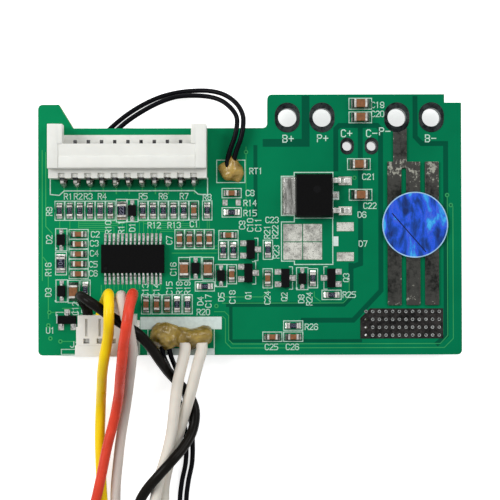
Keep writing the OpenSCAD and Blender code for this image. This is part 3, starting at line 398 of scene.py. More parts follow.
def plasticMaterial(name, colour, rough, variation, sss=0, scale=500, gloss=0.5):
    w = Finish(name, colour, rough, Specular_IOR_Level=gloss)
    if sss:
        w.sets(Subsurface_Weight=sss, Subsurface_Radius=(1.0, 0.8, 0.6), Subsurface_Scale=0.0006)
    w.colour(w.ramp(w.noise(scale, 3, 0.5), darkToPale(colour, variation)))
    w.rough(w.ramp(w.noise(scale * 3, 2), [(0.3, rough * 0.85), (0.7, min(1, rough * 1.2))]))
    w.height(w.noise(scale * 14, 2), 0.08, 0.00003)


def epoxyMaterial(name, colour, rough):
    # moulded package: fine matt spark texture
    w = Finish(name, colour, rough, Specular_IOR_Level=0.04)
    speck = w.noise(9000, 2, 0.6)
    w.colour(w.ramp(speck, [(0.35, tuple(c * 0.7 for c in colour)),
                            (0.7, tuple(c * 1.5 + 0.001 for c in colour))]))
    w.height(speck, 0.25, 0.00002)


def wireMaterial(name, colour, rough, sss, variation, gloss, ior=1.5):
    w = Finish(name, colour, rough, Specular_IOR_Level=gloss, IOR=ior, Subsurface_Weight=sss,
               Subsurface_Radius=(1.0, 0.6, 0.5), Subsurface_Scale=0.0005)
    w.colour(w.ramp(w.noise(260, 3, 0.55), darkToPale(colour, variation)))
    w.rough(w.ramp(w.noise(800, 2), [(0.3, rough * 0.8), (0.7, rough * 1.35)]))
    w.height(w.noise(1500, 2), 0.15, 0.00003)


maskMaterial("maskPour", (0.0006, 0.150, 0.062))        # mask over copper
maskMaterial("maskGap", (0.0005, 0.072, 0.036))         # mask over bare laminate
maskMaterial("maskTrace", (0.030, 0.255, 0.085), 0.3)   # thin tracks that catch the light
laminateEdge()
# name, bright tone, dark grain tone, roughness, grain size and, where given, the rim tone that
# paints shade on steep sides
for name, *tone in (
        ("solder", (0.60, 0.60, 0.58), (0.24, 0.24, 0.23), 0.22, 900, (0.05, 0.05, 0.05)),
        ("solderDome", (0.80, 0.78, 0.74), (0.24, 0.23, 0.22), 0.18, 2400, (0.36, 0.35, 0.33)),
        ("chipSolder", (0.50, 0.50, 0.47), (0.13, 0.13, 0.125), 0.24, 2200, (0.04, 0.04, 0.04)),
        ("chipCap", (0.60, 0.58, 0.54), (0.26, 0.25, 0.235), 0.3, 2600, (0.09, 0.09, 0.085)),
        ("leadTin", (0.62, 0.62, 0.60), (0.22, 0.22, 0.215), 0.24, 2600, (0.05, 0.05, 0.05)),
        ("tinnedPin", (0.58, 0.57, 0.54), (0.30, 0.29, 0.27), 0.26, 1600),
        ("pinTip", (0.10, 0.10, 0.10), (0.012, 0.012, 0.014), 0.3, 1800),
        ("viaRim", (0.42, 0.44, 0.43), (0.06, 0.07, 0.07), 0.28, 3000)):
    solderMaterial(name, *tone)
for name, *tone in (
        ("tabTin", (0.60, 0.60, 0.57), (0.11, 0.11, 0.10), 900, 0.5, 0.24, 0.08, 0.9,
         (1, 0.16, 1)),
        ("openLand", (0.64, 0.64, 0.58), (0.11, 0.11, 0.10), 800, 0.49, 0.24, 0.10),
        ("ringTin", (0.035, 0.042, 0.042), (0.003, 0.005, 0.006), 1300, 0.52, 0.3, 0.08),
        ("viaTin", (0.030, 0.027, 0.026), (0.008, 0.008, 0.008), 1900, 0.5, 0.55, 0.1)):
    speckledLand(name, *tone)
trackSolder("trackTin", (0.009, 0.010, 0.009), (0.042, 0.042, 0.038), (0.26, 0.26, 0.22))
for name, *tone in (
        ("ivory", (0.75, 0.75, 0.70), 0.42, 0.03, 0.08),
        ("whitePlastic", (0.79, 0.77, 0.72), 0.42, 0.04, 0.08),
        ("ceramicWhite", (0.40, 0.42, 0.39), 0.55, 0.08, 0, 2500),
        ("ceramicBrown", (0.215, 0.088, 0.036), 0.45, 0.22, 0, 2500, 0.2),
        ("overglaze", (0.010, 0.011, 0.022), 0.3, 0.25, 0, 2500, 0.1),
        ("beadResin", (0.008, 0.008, 0.010), 0.22, 0.3, 0, 900, 0.2),
        ("silk", (0.48, 0.66, 0.56), 0.6, 0.16, 0, 2600),
        ("silkBar", (0.60, 0.70, 0.66), 0.6, 0.08, 0, 1800),
        ("codeInk", (0.17, 0.175, 0.24), 0.6, 0.1, 0, 1800),
        ("stickerInk", (0.004, 0.008, 0.035), 0.4, 0.3, 0, 1800, 0.1),
        ("stickerRim", (0.30, 0.50, 0.72), 0.35, 0.2, 0, 900)):
    plasticMaterial(name, *tone)
epoxyMaterial("epoxyChip", (0.0024, 0.0024, 0.0025), 0.45)
epoxyMaterial("epoxySmall", (0.0040, 0.0040, 0.0045), 0.42)
epoxyMaterial("dimple", (0.006, 0.006, 0.0065), 0.3)
stickerMaterial("sticker")
glueMaterial("paleGlue", (0.56, 0.37, 0.085), (0.24, 0.135, 0.018))
glueMaterial("darkGlue", (0.50, 0.345, 0.075), (0.135, 0.088, 0.008))
for name, *tone in (
        ("blackWire", (0.006, 0.005, 0.004), 0.24, 0.0, 0.3, 0.5, 1.15),
        ("thinBlackWire", (0.0025, 0.0025, 0.004), 0.24, 0.0, 0.3, 0.5, 1.14),
        ("yellowWire", (0.95, 0.66, 0.004), 0.34, 0.05, 0.05, 0.18),
        ("greyWire", (0.64, 0.56, 0.50), 0.36, 0.15, 0.05, 0.2),
        ("redWire", (0.72, 0.058, 0.026), 0.30, 0.12, 0.16, 0.18),
        ("whiteWire", (0.79, 0.74, 0.65), 0.4, 0.12, 0.05, 0.2)):
    wireMaterial(name, *tone)
print("materials ready")


view = {
    "aim": (0.0, -3.89),           # point looked at, in millimetres, on the board's face
    "distance": 215.1,
    "lean": (0.56, -0.14, -0.14),    # degrees about X, Y and the line of sight
    "lens": 100.9,
}
camData = bpy.data.cameras.new("camera")
camData.sensor_width = 36.0
camData.lens = view["lens"]
camData.clip_start = 0.01
camera = bpy.data.objects.new("camera", camData)
bpy.context.collection.objects.link(camera)
aimPoint = Vector((view["aim"][0] * mm, view["aim"][1] * mm, boardTop))
lean = Matrix.Identity(4)
for axis, degrees in zip("XYZ", view["lean"]):
    lean = lean @ Matrix.Rotation(math.radians(degrees), 4, axis)
camera.matrix_world = Matrix.Translation(aimPoint) @ lean @ Matrix.Translation(
    (0, 0, view["distance"] * mm))
bpy.context.scene.camera = camera
bpy.context.scene.view_settings.view_transform = "Standard"

world = bpy.data.worlds.new("studio")
world.use_nodes = True
bpy.context.scene.world = world
worldTree = world.node_tree
background = worldTree.nodes["Background"]
background.inputs["Color"].default_value = (0.85, 0.87, 0.9, 1)
background.inputs["Strength"].default_value = 0.32
seen = worldTree.nodes.new("ShaderNodeBackground")
seen.inputs["Color"].default_value = (1, 1, 1, 1)
seen.inputs["Strength"].default_value = 1.0
path = worldTree.nodes.new("ShaderNodeLightPath")
swap = worldTree.nodes.new("ShaderNodeMixShader")
anySight = None
for ray in ("Is Camera Ray", "Is Glossy Ray", "Is Transmission Ray"):
    if anySight is None:
        anySight = path.outputs[ray]
        continue
    either = worldTree.nodes.new("ShaderNodeMath")
    either.operation = "MAXIMUM"
    worldTree.links.new(anySight, either.inputs[0])
    worldTree.links.new(path.outputs[ray], either.inputs[1])
    anySight = either.outputs[0]
worldTree.links.new(anySight, swap.inputs["Fac"])
worldTree.links.new(background.outputs["Background"], swap.inputs[1])
worldTree.links.new(seen.outputs["Background"], swap.inputs[2])
worldTree.links.new(swap.outputs["Shader"], worldTree.nodes["World Output"].inputs["Surface"])


def softLamp(name, place, size, power):
    lamp = bpy.data.lights.new(name, "AREA")
    lamp.shape = "RECTANGLE"
    lamp.size, lamp.size_y = size
    lamp.energy = power
    obj = bpy.data.objects.new(name, lamp)
    bpy.context.collection.objects.link(obj)
    away = Vector(place) - Vector((0, -0.01, 0))  # all lamps look at the board's middle
    obj.matrix_world = (Matrix.Translation(Vector(place))
                        @ away.to_track_quat("Z", "Y").to_matrix().to_4x4())


softLamp("leftBox", (-0.40, 0.12, 0.40), (0.24, 0.30), 1.95)
softLamp("rightBox", (0.40, 0.16, 0.40), (0.22, 0.28), 1.1)
softLamp("farBox", (0.02, 0.44, 0.38), (0.34, 0.2), 0.95)

# pale floor: its own glow is for the camera and for reflections only
floorSettings = {"half": 1.2, "drop": 0.03, "glow": 0.72}
paleFloor = Finish("paleFloor", (0.9, 0.9, 0.9), 0.9, Specular_IOR_Level=0.0,
                   Emission_Color=(1, 1, 1, 1))
sight = paleFloor.add("ShaderNodeLightPath").outputs
glow = paleFloor.maths("MAXIMUM", sight["Is Camera Ray"], sight["Is Glossy Ray"])
paleFloor.link(paleFloor.maths("MULTIPLY", glow, floorSettings["glow"]),
               paleFloor.shader.inputs["Emission Strength"])
bm = bmesh.new()
bmesh.ops.create_grid(bm, x_segments=1, y_segments=1, size=floorSettings["half"])
bmesh.ops.translate(bm, vec=(0, 0, -floorSettings["drop"] * mm), verts=bm.verts)
floorMesh = bpy.data.meshes.new("floor")
bm.to_mesh(floorMesh)
bm.free()
floorMesh.materials.append(mats["paleFloor"])
floor = bpy.data.objects.new("floor", floorMesh)
bpy.context.collection.objects.link(floor)
print("camera and light set")

# free wires, limp and loose on their way from the board to their ends
wireKinds = {"comm": {"d": 1.6, "far": "bare"}, "output": {"d": 1.75, "far": "bare"},
             "probe": {"d": 0.75, "far": "fitting"}, "sensor": {"d": 0.75, "far": "object"}}
wires = {
    "commBlack": {"kind": "comm", "node": "comm_wire_black", "mat": "blackWire",
        "slot": "black_insulation", "route": [
        (-24.6, -15.2, 6.6), (-24.6, -13.6, 6.6), (-24.8, -12.5, 6.8), (-25.2, -11.7, 7.4),
        (-25.5, -11.1, 8.3), (-25.4, -10.8, 9.4), (-24.8, -11, 10.4), (-23.8, -11.6, 11),
        (-22.5, -12.5, 10.9), (-20.6, -13.9, 10.3), (-18.5, -15.3, 9.8), (-16.7, -16.5, 9.4),
        (-15.1, -18.4, 7.9), (-13.9, -20.4, 6.2), (-12.6, -22.5, 4), (-11, -24.5, 2.2),
        (-9.5, -26.4, 1.5), (-8.6, -28.8, 1.6), (-8.9, -31.6, 2.1), (-10.1, -33.9, 3.1),
        (-12, -36.1, 4.4), (-14.3, -38.6, 4.5), (-16.2, -41, 3.4), (-17.4, -43.6, 2),
        (-18, -48, 1), (-17.7, -56, 0.85), (-17.1, -68, 0.85), (-17.4, -80, 0.85),
        (-18.4, -90, 0.85), (-18.4, -95, 0.85)]},
    "commYellow": {"kind": "comm", "node": "comm_wire_yellow", "mat": "yellowWire",
        "slot": "yellow_insulation", "route": [
        (-22.6, -15.2, 6.6), (-22.6, -13.6, 6.6), (-22.3, -12.4, 6.85), (-21.8, -11.4, 7.5),
        (-21.4, -10.7, 8.5), (-21.15, -10.45, 9.75), (-21, -10.7, 11), (-20.9, -11.4, 12.05),
        (-20.8, -12.4, 12.75), (-20.8, -13.6, 13), (-20.85, -14.9, 12.7), (-21, -16.3, 11.8),
        (-21.3, -17.8, 10.8), (-21.8, -20, 9.7), (-22.3, -22.3, 7.6), (-22.8, -25.2, 4.1),
        (-23.2, -28.2, 1.5), (-23.4, -32.5, 0.9), (-23.3, -37, 0.85), (-23, -42.8, 0.85),
        (-22.3, -52, 0.85), (-21.5, -64, 0.85), (-21.7, -77, 0.85), (-22.7, -89, 0.85),
        (-22.7, -95, 0.85)]},
    "commGrey": {"kind": "comm", "node": "comm_wire_grey", "mat": "greyWire",
        "slot": "grey_insulation", "route": [
        (-20.6, -15.2, 6.6), (-20.6, -13.6, 6.6), (-20.3, -12.4, 6.8), (-19.9, -11.5, 7.5),
        (-19.5, -10.9, 8.4), (-19.3, -10.7, 9.5), (-19.2, -10.9, 10.6), (-19, -11.5, 11.5),
        (-18.7, -12.5, 12.15), (-18.4, -13.7, 12.3), (-18, -15.2, 11.9), (-17.8, -16.5, 11.3),
        (-17.6, -18.6, 10.3), (-17.8, -20.6, 9.2), (-18.2, -22.8, 6.9), (-18.8, -25.6, 3.4),
        (-19.4, -28.6, 1.3), (-20, -32, 0.9), (-20.5, -36, 0.85), (-21, -42.8, 0.85),
        (-20.3, -52, 0.85), (-19.3, -64, 0.85), (-19.5, -77, 0.85), (-20.6, -90, 0.85),
        (-20.6, -96, 0.85)]},
    "commRed": {"kind": "comm", "node": "comm_wire_red", "mat": "redWire",
        "slot": "red_insulation", "route": [
        (-18.6, -15.2, 6.6), (-18.6, -13.6, 6.6), (-18.3, -12.4, 6.85), (-17.9, -11.35, 7.6),
        (-17.6, -10.65, 8.7), (-17.5, -10.4, 10), (-17.5, -10.6, 11.4), (-17.6, -11.3, 12.7),
        (-17.75, -12.4, 13.7), (-17.9, -13.7, 14.25), (-18.1, -15, 14.2), (-18.35, -16.4, 13.5),
        (-18.7, -18, 12.4), (-19.1, -20.6, 10.7), (-19.6, -23.2, 8.1), (-20.1, -26, 4.9),
        (-20.9, -29.6, 2.9), (-22.1, -34.2, 2.6), (-23, -38.6, 2.6), (-23.9, -42.5, 2.4),
        (-25, -46.5, 1.4), (-25.6, -52, 0.9), (-25.6, -64, 0.85), (-25.1, -77, 0.85),
        (-25.6, -90, 0.85), (-25.6, -96, 0.85)]},
    "outputLeft": {"kind": "output", "node": "output_wire_left", "mat": "whiteWire",
        "slot": "white_insulation", "route": [
        (-9.95, -18, 5.1), (-9.95, -19.2, 5.1), (-10.3, -20.8, 5.1), (-10.8, -22.8, 5),
        (-11.2, -24.8, 4.6), (-11.5, -27, 4.1), (-11.8, -29.4, 3.6), (-12.2, -32.2, 3.1),
        (-12.9, -35.2, 2.75), (-13.8, -38.2, 2.65), (-14.6, -41.8, 2.6), (-15.2, -45.5, 1.9),
        (-15.4, -51, 1.05), (-15, -60, 0.95), (-14.5, -72, 0.95), (-15, -83, 0.95),
        (-15, -88, 0.95)]},
    "outputRight": {"kind": "output", "node": "output_wire_right", "mat": "whiteWire",
        "slot": "white_insulation", "route": [
        (-7.4, -18, 5.1), (-7.4, -19.2, 5.1), (-7.9, -20.9, 5), (-8.4, -22.8, 4.7),
        (-9, -25.2, 4), (-9.7, -27.6, 3.1), (-10.4, -29.9, 2.2), (-11.3, -32.8, 1.4),
        (-12.3, -35.8, 1), (-13.1, -38.6, 0.95), (-13.5, -42, 0.95), (-13.1, -49, 0.95),
        (-12.3, -60, 0.95), (-12, -72, 0.95), (-12.4, -82, 0.95), (-12.4, -87, 0.95)]},
    "probeLeft": {"kind": "probe", "node": "probe_wire_left", "mat": "thinBlackWire",
        "slot": "black_insulation", "route": [
        (-13.5, -17.7, 4.9), (-13.5, -18.8, 4.9), (-13.2, -20.2, 4.5), (-12.6, -21.8, 3),
        (-12.1, -23.4, 1.5), (-11.6, -25.2, 0.65), (-10.9, -28, 0.5), (-10.3, -31, 0.5),
        (-10, -34, 0.5), (-10.1, -37, 0.5), (-10.7, -40, 0.5), (-11, -43.5, 0.5),
        (-10.6, -50, 0.5), (-9.7, -60, 0.5), (-9.2, -70, 0.5), (-9.3, -78, 0.6), (-9.7, -84, 1),
        (-9.7, -87, 1)]},
    "probeRight": {"kind": "probe", "node": "probe_wire_right", "mat": "thinBlackWire",
        "slot": "black_insulation", "route": [
        (-12.4, -17.7, 4.9), (-12.4, -18.8, 4.9), (-12.1, -20.2, 4.4), (-11.6, -21.8, 2.8),
        (-11.1, -23.4, 1.3), (-10.6, -25.2, 0.6), (-9.9, -28, 0.5), (-9.2, -31, 0.5),
        (-9, -34, 0.5), (-9.1, -37, 0.5), (-9.7, -40, 0.5), (-10, -43.5, 0.5), (-9.6, -50, 0.5),
        (-8.7, -60, 0.5), (-8.2, -70, 0.5), (-8.3, -78, 0.6), (-8.8, -84, 1), (-8.8, -87, 1)]},
    "sensorOuter": {"kind": "sensor", "node": "board_sensor_wire_outer", "mat": "thinBlackWire",
        "slot": "black_insulation", "route": [
        (-2.4, 8.8, 4.85), (-2.4, 9.9, 4.85), (-2, 11.4, 5.1), (-1.35, 13.2, 5.5),
        (-1, 15.1, 5.4), (-1.1, 16.9, 4.8), (-2.1, 18.7, 3.9), (-3.9, 20.1, 2.9),
        (-6.2, 20.8, 2), (-9, 20.9, 1.3), (-11.8, 20.6, 0.8), (-14.6, 19.8, 0.6),
        (-17.6, 18.3, 0.5), (-20.3, 16.4, 0.5), (-22.8, 14, 0.5), (-24.8, 10.8, 0.5),
        (-25.9, 6.8, 0.5), (-26.2, 2.4, 0.5), (-25.6, -2, 0.6), (-24.8, -5, 1), (-24.8, -7, 1)]},
    "sensorInner": {"kind": "sensor", "node": "board_sensor_wire_inner", "mat": "thinBlackWire",
        "slot": "black_insulation", "route": [
        (-3.4, 8.8, 4.85), (-3.4, 9.9, 4.85), (-3, 11.4, 5.1), (-2.3, 13.3, 5.4),
        (-1.95, 15.1, 5.3), (-2.05, 16.6, 4.8), (-2.95, 18, 3.9), (-4.4, 19.2, 3),
        (-6.4, 19.9, 2.2), (-9, 20.1, 1.8), (-11.6, 19.9, 1.5), (-14.3, 19, 1.2),
        (-17.1, 17.5, 1.1), (-19.7, 15.7, 0.9), (-22, 13.4, 0.6), (-23.8, 10.4, 0.5),
        (-24.9, 6.6, 0.5), (-25.2, 2.4, 0.5), (-24.7, -2, 0.6), (-23.9, -5, 1), (-23.9, -7, 1)]},
}


def smoothLine(route, steps):
    # the same smooth line through a route that the tubes in the source follow
    p = [Vector(q) * mm for q in route]
    ends = [2 * p[0] - p[1]] + p + [2 * p[-1] - p[-2]]
    line = []
    for i in range(1, len(ends) - 2):
        a, b, c, d = ends[i - 1:i + 3]
        for k in range(steps):
            t = k / steps
            line.append(0.5 * (2 * b + (c - a) * t + (2 * a - 5 * b + 4 * c - d) * t * t
                               + (3 * b - a - 3 * c + d) * t ** 3))
    return line + [p[-1]]


def curvePiece(name, lines, radius, tone, sides=4):
    data = bpy.data.curves.new(name, "CURVE")
    data.dimensions = "3D"
    data.bevel_depth = radius
    data.bevel_resolution = sides
    data.use_fill_caps = True
    for line in lines:
        spline = data.splines.new("POLY")
        spline.points.add(len(line) - 1)
        for point, at in zip(spline.points, line):
            point.co = (*at, 1)
        spline.use_smooth = True
    data.materials.append(mats[tone])
    return seatPiece(bpy.data.objects.new(name, data))


wireObjects, wireLines = {}, {}
for name, wire in wires.items():
    wireLines[name] = smoothLine(wire["route"], 6)
    wireObjects[name] = curvePiece(name, [wireLines[name]], wireKinds[wire["kind"]]["d"] / 2 * mm,
                                   wire["mat"])
    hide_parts(wire["node"])

# stripped and tinned ends: six strands with a slight twist round a middle one
strandSettings = {"strand": 0.13, "ring": 0.26, "turns": 0.5, "outer": 6, "steps": 12,
                  "narrowing": 0.25, "shortest": 0.985, "uneven": 0.015}


def strandEnds(name, kind, nodeName):
    s = strandSettings
    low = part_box(nodeName)[0]
    lines = []
    for wireName in (n for n in wires if wires[n]["kind"] == kind):
        end = wireLines[wireName][-1]
        reach = end.y - low[1]
        for k in range(s["outer"] + 1):
            line = []
            for j in range(s["steps"] + 1):
                t = j / s["steps"]
                angle = k * math.tau / s["outer"] + t * s["turns"] * math.tau
                r = 0 if k == s["outer"] else s["ring"] * mm * (1 - s["narrowing"] * t)
                line.append(Vector((end.x + r * math.cos(angle),
                                    end.y - reach * t * (s["shortest"] + s["uneven"] * (k % 2)),
                                    end.z + r * math.sin(angle))))
            lines.append(line)
    piece = curvePiece(name, lines, s["strand"] * mm, "tinnedPin", 2)
    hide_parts(nodeName)
    return piece


wireEnds = {"comm": strandEnds("commStrandEnds", "comm", "comm_wire_strands"),
            "output": strandEnds("outputStrandEnds", "output", "output_wire_strands"),
            "probe": nodes["probe_bead"], "sensor": nodes["board_sensor_bead"]}
print("wires laid")

# finishes of the CAD nodes
finishes = {
    "ringTin": "wire_terminals",
    "trackTin": "power_track_solder",
    "viaTin": "via_field",
    "openLand": "open_footprint_lands charge_diode_joints",
    "ivory": "cell_header_housing",
    "tinnedPin": "cell_header_pins comm_header_pins comm_plug_contacts lead_strands",
    "solderDome": "cell_header_joints",
    "whitePlastic": "comm_header_housing comm_plug_housing",
    "solder": "comm_header_joints power_transistor_joints shunt_joints",
    "beadResin": "probe_bead board_sensor_bead",
    "chipSolder": "lead_joints monitor_joints chip_joints small_package_joints",
    "epoxyChip": "monitor_body charge_diode_body power_transistor_bodies",
    "leadTin": "monitor_leads small_diode_leads transistor_leads",
    "tabTin": "charge_diode_frame power_transistor_frames",
    "epoxySmall": "small_diode_bodies transistor_bodies",
    "overglaze": "shunt_resistors",
    "sticker": "inspection_sticker",
}
for tone, names in finishes.items():
    for nodeName in names.split():
        mesh = nodes[nodeName].data
        mesh.materials.clear()
        mesh.materials.append(mats[tone])

# board: mask on both faces, laminate on cut edges, ring tone on the walls of the wire holes
boardMesh = nodes["circuit_board"].data
boardMesh.materials.clear()
for tone in ("maskPour", "laminateEdge", "ringTin"):
    boardMesh.materials.append(mats[tone])
wallReach = 1.05
holeSpots = [(*m["pos_m"][:2], m["dims"]["r_mm"] * mm) for m in frame["record"]["mounts"]
             if m["kind"] == "bore"]
for face in boardMesh.polygons:
    c = face.center
    if abs(face.normal.z) > 0.5:
        face.material_index = 0
    else:
        inHole = any(math.hypot(c.x - x, c.y - y) < r * wallReach for x, y, r in holeSpots)
        face.material_index = 2 if inHole else 1

# chips: metal caps at both ends, ceramic between them
endShare, slack = 0.24, 1e-6
chipTones = {"resistors": "ceramicWhite", "capacitors": "ceramicBrown"}
chipNodes = [row + kind for kind in chipTones for row in ("cell_row_", "drive_", "large_")]
for nodeName in chipNodes:
    mesh = nodes[nodeName].data
    mesh.materials.clear()
    mesh.materials.append(mats[chipTones[nodeName.split("_")[-1]]])
    mesh.materials.append(mats["chipCap"])
    boxes = islands(nodeName)
    for face in mesh.polygons:
        c = face.center
        low, high = next(b for b in boxes
                         if all(b[0][k] - slack <= c[k] <= b[1][k] + slack for k in range(3)))
        axis = 0 if high.x - low.x > high.y - low.y else 1
        t = (c[axis] - low[axis]) / (high[axis] - low[axis])
        face.material_index = 0 if endShare < t < 1 - endShare else 1

# painted shade: the header's pins are dark where they stand in the shaded mouth
mouthStart = 0.0085
pinMesh = nodes["cell_header_pins"].data
pinMesh.materials.append(mats["pinTip"])
for face in pinMesh.polygons:
    face.material_index = 1 if face.center.y > mouthStart else 0

# the broken edges that moulded and cut parts have, by radius
roundAbove = 40  # degrees
edgeRounding = {
    0.12: "cell_header_housing power_track_solder",
    0.08: "comm_header_housing shunt_resistors",
    0.1: "comm_plug_housing",
    0.07: "charge_diode_body power_transistor_bodies",
    0.05: "monitor_body transistor_bodies small_diode_bodies cell_row_capacitors drive_capacitors",
    0.06: "charge_diode_frame power_transistor_frames large_capacitors",
    0.03: "cell_row_resistors drive_resistors large_resistors inspection_sticker wire_terminals",
}
for radius, names in edgeRounding.items():
    for nodeName in names.split():
        modifiers = nodes[nodeName].modifiers
        modifiers.new("weld", "WELD").merge_threshold = sameSpot
        rounded = modifiers.new("round", "BEVEL")
        rounded.width = radius * mm
        rounded.segments = 2
        rounded.limit_method = "ANGLE"
        rounded.angle_limit = math.radians(roundAbove)
        rounded.use_clamp_overlap = True
        modifiers.new("shade", "WEIGHTED_NORMAL").keep_sharp = True
print("nodes finished")

# mask over bare laminate shows darker between the copper areas
boardArt = {
    "gapBands": [
        (1.2, [(8.59, 19.2), (8.59, 12.56), (2.59, 12.56)]),
        (0.75, [(13.22, 8.54), (13.22, 14.68), (13.76, 15.21), (19.59, 15.21), (20.09, 14.68),
                (20.09, -10.17), (15.83, -14.69), (8.16, -14.69)]),
        (0.75, [(16.98, 15.21), (16.98, -6.03), (15.83, -6.41)]),
        (0.75, [(15.49, -6.26), (15.49, -11.09), (14.37, -12.24), (-3.34, -12.24)]),
        (0.75, [(25.41, 19.36), (25.41, 13.45), (26.41, 12.41), (30.09, 12.41), (30.09, -17.07),
                (28.79, -18.22)]),
        (0.6, [(0.87, 11.92), (0.87, 1.33)]),
        (0.5, [(-2.96, -12.47), (-2.96, -17.84), (16.9, -17.84)]),
    ],
    "trackWidth": 0.13,
    "tracks": [
        [(30.32, 4.25), (30.32, -17.07), (29.17, -18.3), (-2.65, -18.3), (-3.3, -17.65),
         (-3.3, -13.97), (-3.93, -13.34), (-5.49, -13.34)],
        [(31.17, 2.71), (31.17, -17.53), (29.79, -18.91), (-2.96, -18.91), (-3.8, -18.04),
         (-3.8, -14.46), (-4.19, -14.08)],
        [(-31.87, 11.46), (-31.87, -8.48)],
        [(-31.33, 11.15), (-31.33, -0.2), (-30.34, -1.27)],
        [(-31.72, -4.95), (-30.95, -5.95), (-30.95, -14.31)],
        [(-0.58, 11.92), (-0.58, 1.64)],
        [(-12.24, -7.25), (-11.32, -7.25)],
        [(-11.47, -3.27), (-4.26, -3.27)],
        [(-11.47, -3.8), (-4.72, -3.8)],
        [(-11.93, -4.34), (-5.18, -4.34)],
        [(-9.17, -4.88), (-5.8, -4.88)],
        [(-28.8, -12.78), (-23.44, -12.78), (-22.82, -12.16), (-22.82, -9.25)],
        [(-30.8, -13.39), (-28.5, -13.39)],
        [(-29.11, -17.84), (-26.66, -17.84)],
        [(-4.26, -12.04), (14.29, -12.04), (15.21, -11.09), (15.21, -8.79), (14.6, -8.17)],
        [(2.64, -9.25), (2.64, -10.32), (1.87, -11.09), (-4.26, -11.09)],
        [(2.64, -1.12), (2.64, -3.27)],
        [(9.85, -10.32), (9.85, -11.09), (10.77, -11.78)],
    ],
    "vias": [(-30.8, -13.39), (-29.11, -17.84), (-30.95, -15.38), (-5.18, -12.47), (30.29, 4.48),
             (30.86, 2.94), (16.06, 7.16), (-0.58, 11.15), (-18.37, 3.02), (-30.64, -17.38)],
    "viaRim": 0.34, "viaCore": 0.15,
    "fanTop": 0.95, "fanFirst": -1.0, "fanStep": 0.3, "fanFoot": -1.32, "fanWidth": 0.1,
    "fanLeftOf": 2.5, "fanRightOf": 1.2,  # chips this far from the monitor's middle
    "tailTop": -9.05, "tailFoot": -9.75, "tailStep": 0.18,
    "headerTail": (0.1, 0.9), "headerTailWidth": 0.2,
}
gapLift, trackLift, inkLift = 3e-6, 6e-6, 13e-6


def drawGaps():
    bm = bmesh.new()
    for width, route in boardArt["gapBands"]:
        ribbon(bm, route, width, boardTop + gapLift)
    flatPiece("copper_gaps", bm, "maskGap")


def drawTracks():
    art, bm = boardArt, bmesh.new()
    z = boardTop + trackLift
    for route in art["tracks"]:
        ribbon(bm, route, art["trackWidth"], z)
    # the cell row's tracks fan in to the monitor's upper leads
    rowXs = sorted(middleOf(b).x / mm for n in ("cell_row_resistors", "cell_row_capacitors")
                   for b in islands(n))
    monitorMid = middleOf(boxInMm("monitor_body"))
    leadXs = sorted(middleOf(b).x / mm for b in islands("monitor_leads")
                    if middleOf(b).y / mm > monitorMid.y)
    lefts = [x for x in rowXs if x < monitorMid.x - art["fanLeftOf"]]
    rights = [x for x in rowXs if x > monitorMid.x + art["fanRightOf"]]
    for xs, leads in ((lefts, leadXs), (rights[::-1], leadXs[::-1])):
        for k, x in enumerate(xs):
            level = art["fanFirst"] + art["fanStep"] * k
            ribbon(bm, [(x, art["fanTop"]), (x, level), (leads[k], level),
                        (leads[k], art["fanFoot"])], art["fanWidth"], z)
    # short tails under the lower leads
    for k, x in enumerate(leadXs):
        foot = art["tailFoot"] - art["tailStep"] * (k % 4)
        ribbon(bm, [(x, art["tailTop"]), (x, foot)], art["fanWidth"], z)
    # header tails run back under the housing
    for low, high in islands("cell_header_joints"):
        x = (low.x + high.x) / 2 / mm
        ribbon(bm, [(x, low.y / mm - d) for d in art["headerTail"]], art["headerTailWidth"], z)
    flatPiece("thin_tracks", bm, "maskTrace")


def drawVias():
    rims, cores = bmesh.new(), bmesh.new()
    for x, y in boardArt["vias"]:
        disc(rims, x, y, boardArt["viaRim"], boardTop + trackLift + 5e-6, 20)
        disc(cores, x, y, boardArt["viaCore"], boardTop + trackLift + 8e-6, 14)
    flatPiece("via_rims", rims, "maskTrace")
    flatPiece("via_cores", cores, "maskGap")


drawGaps()
drawTracks()
drawVias()
print("copper drawn")

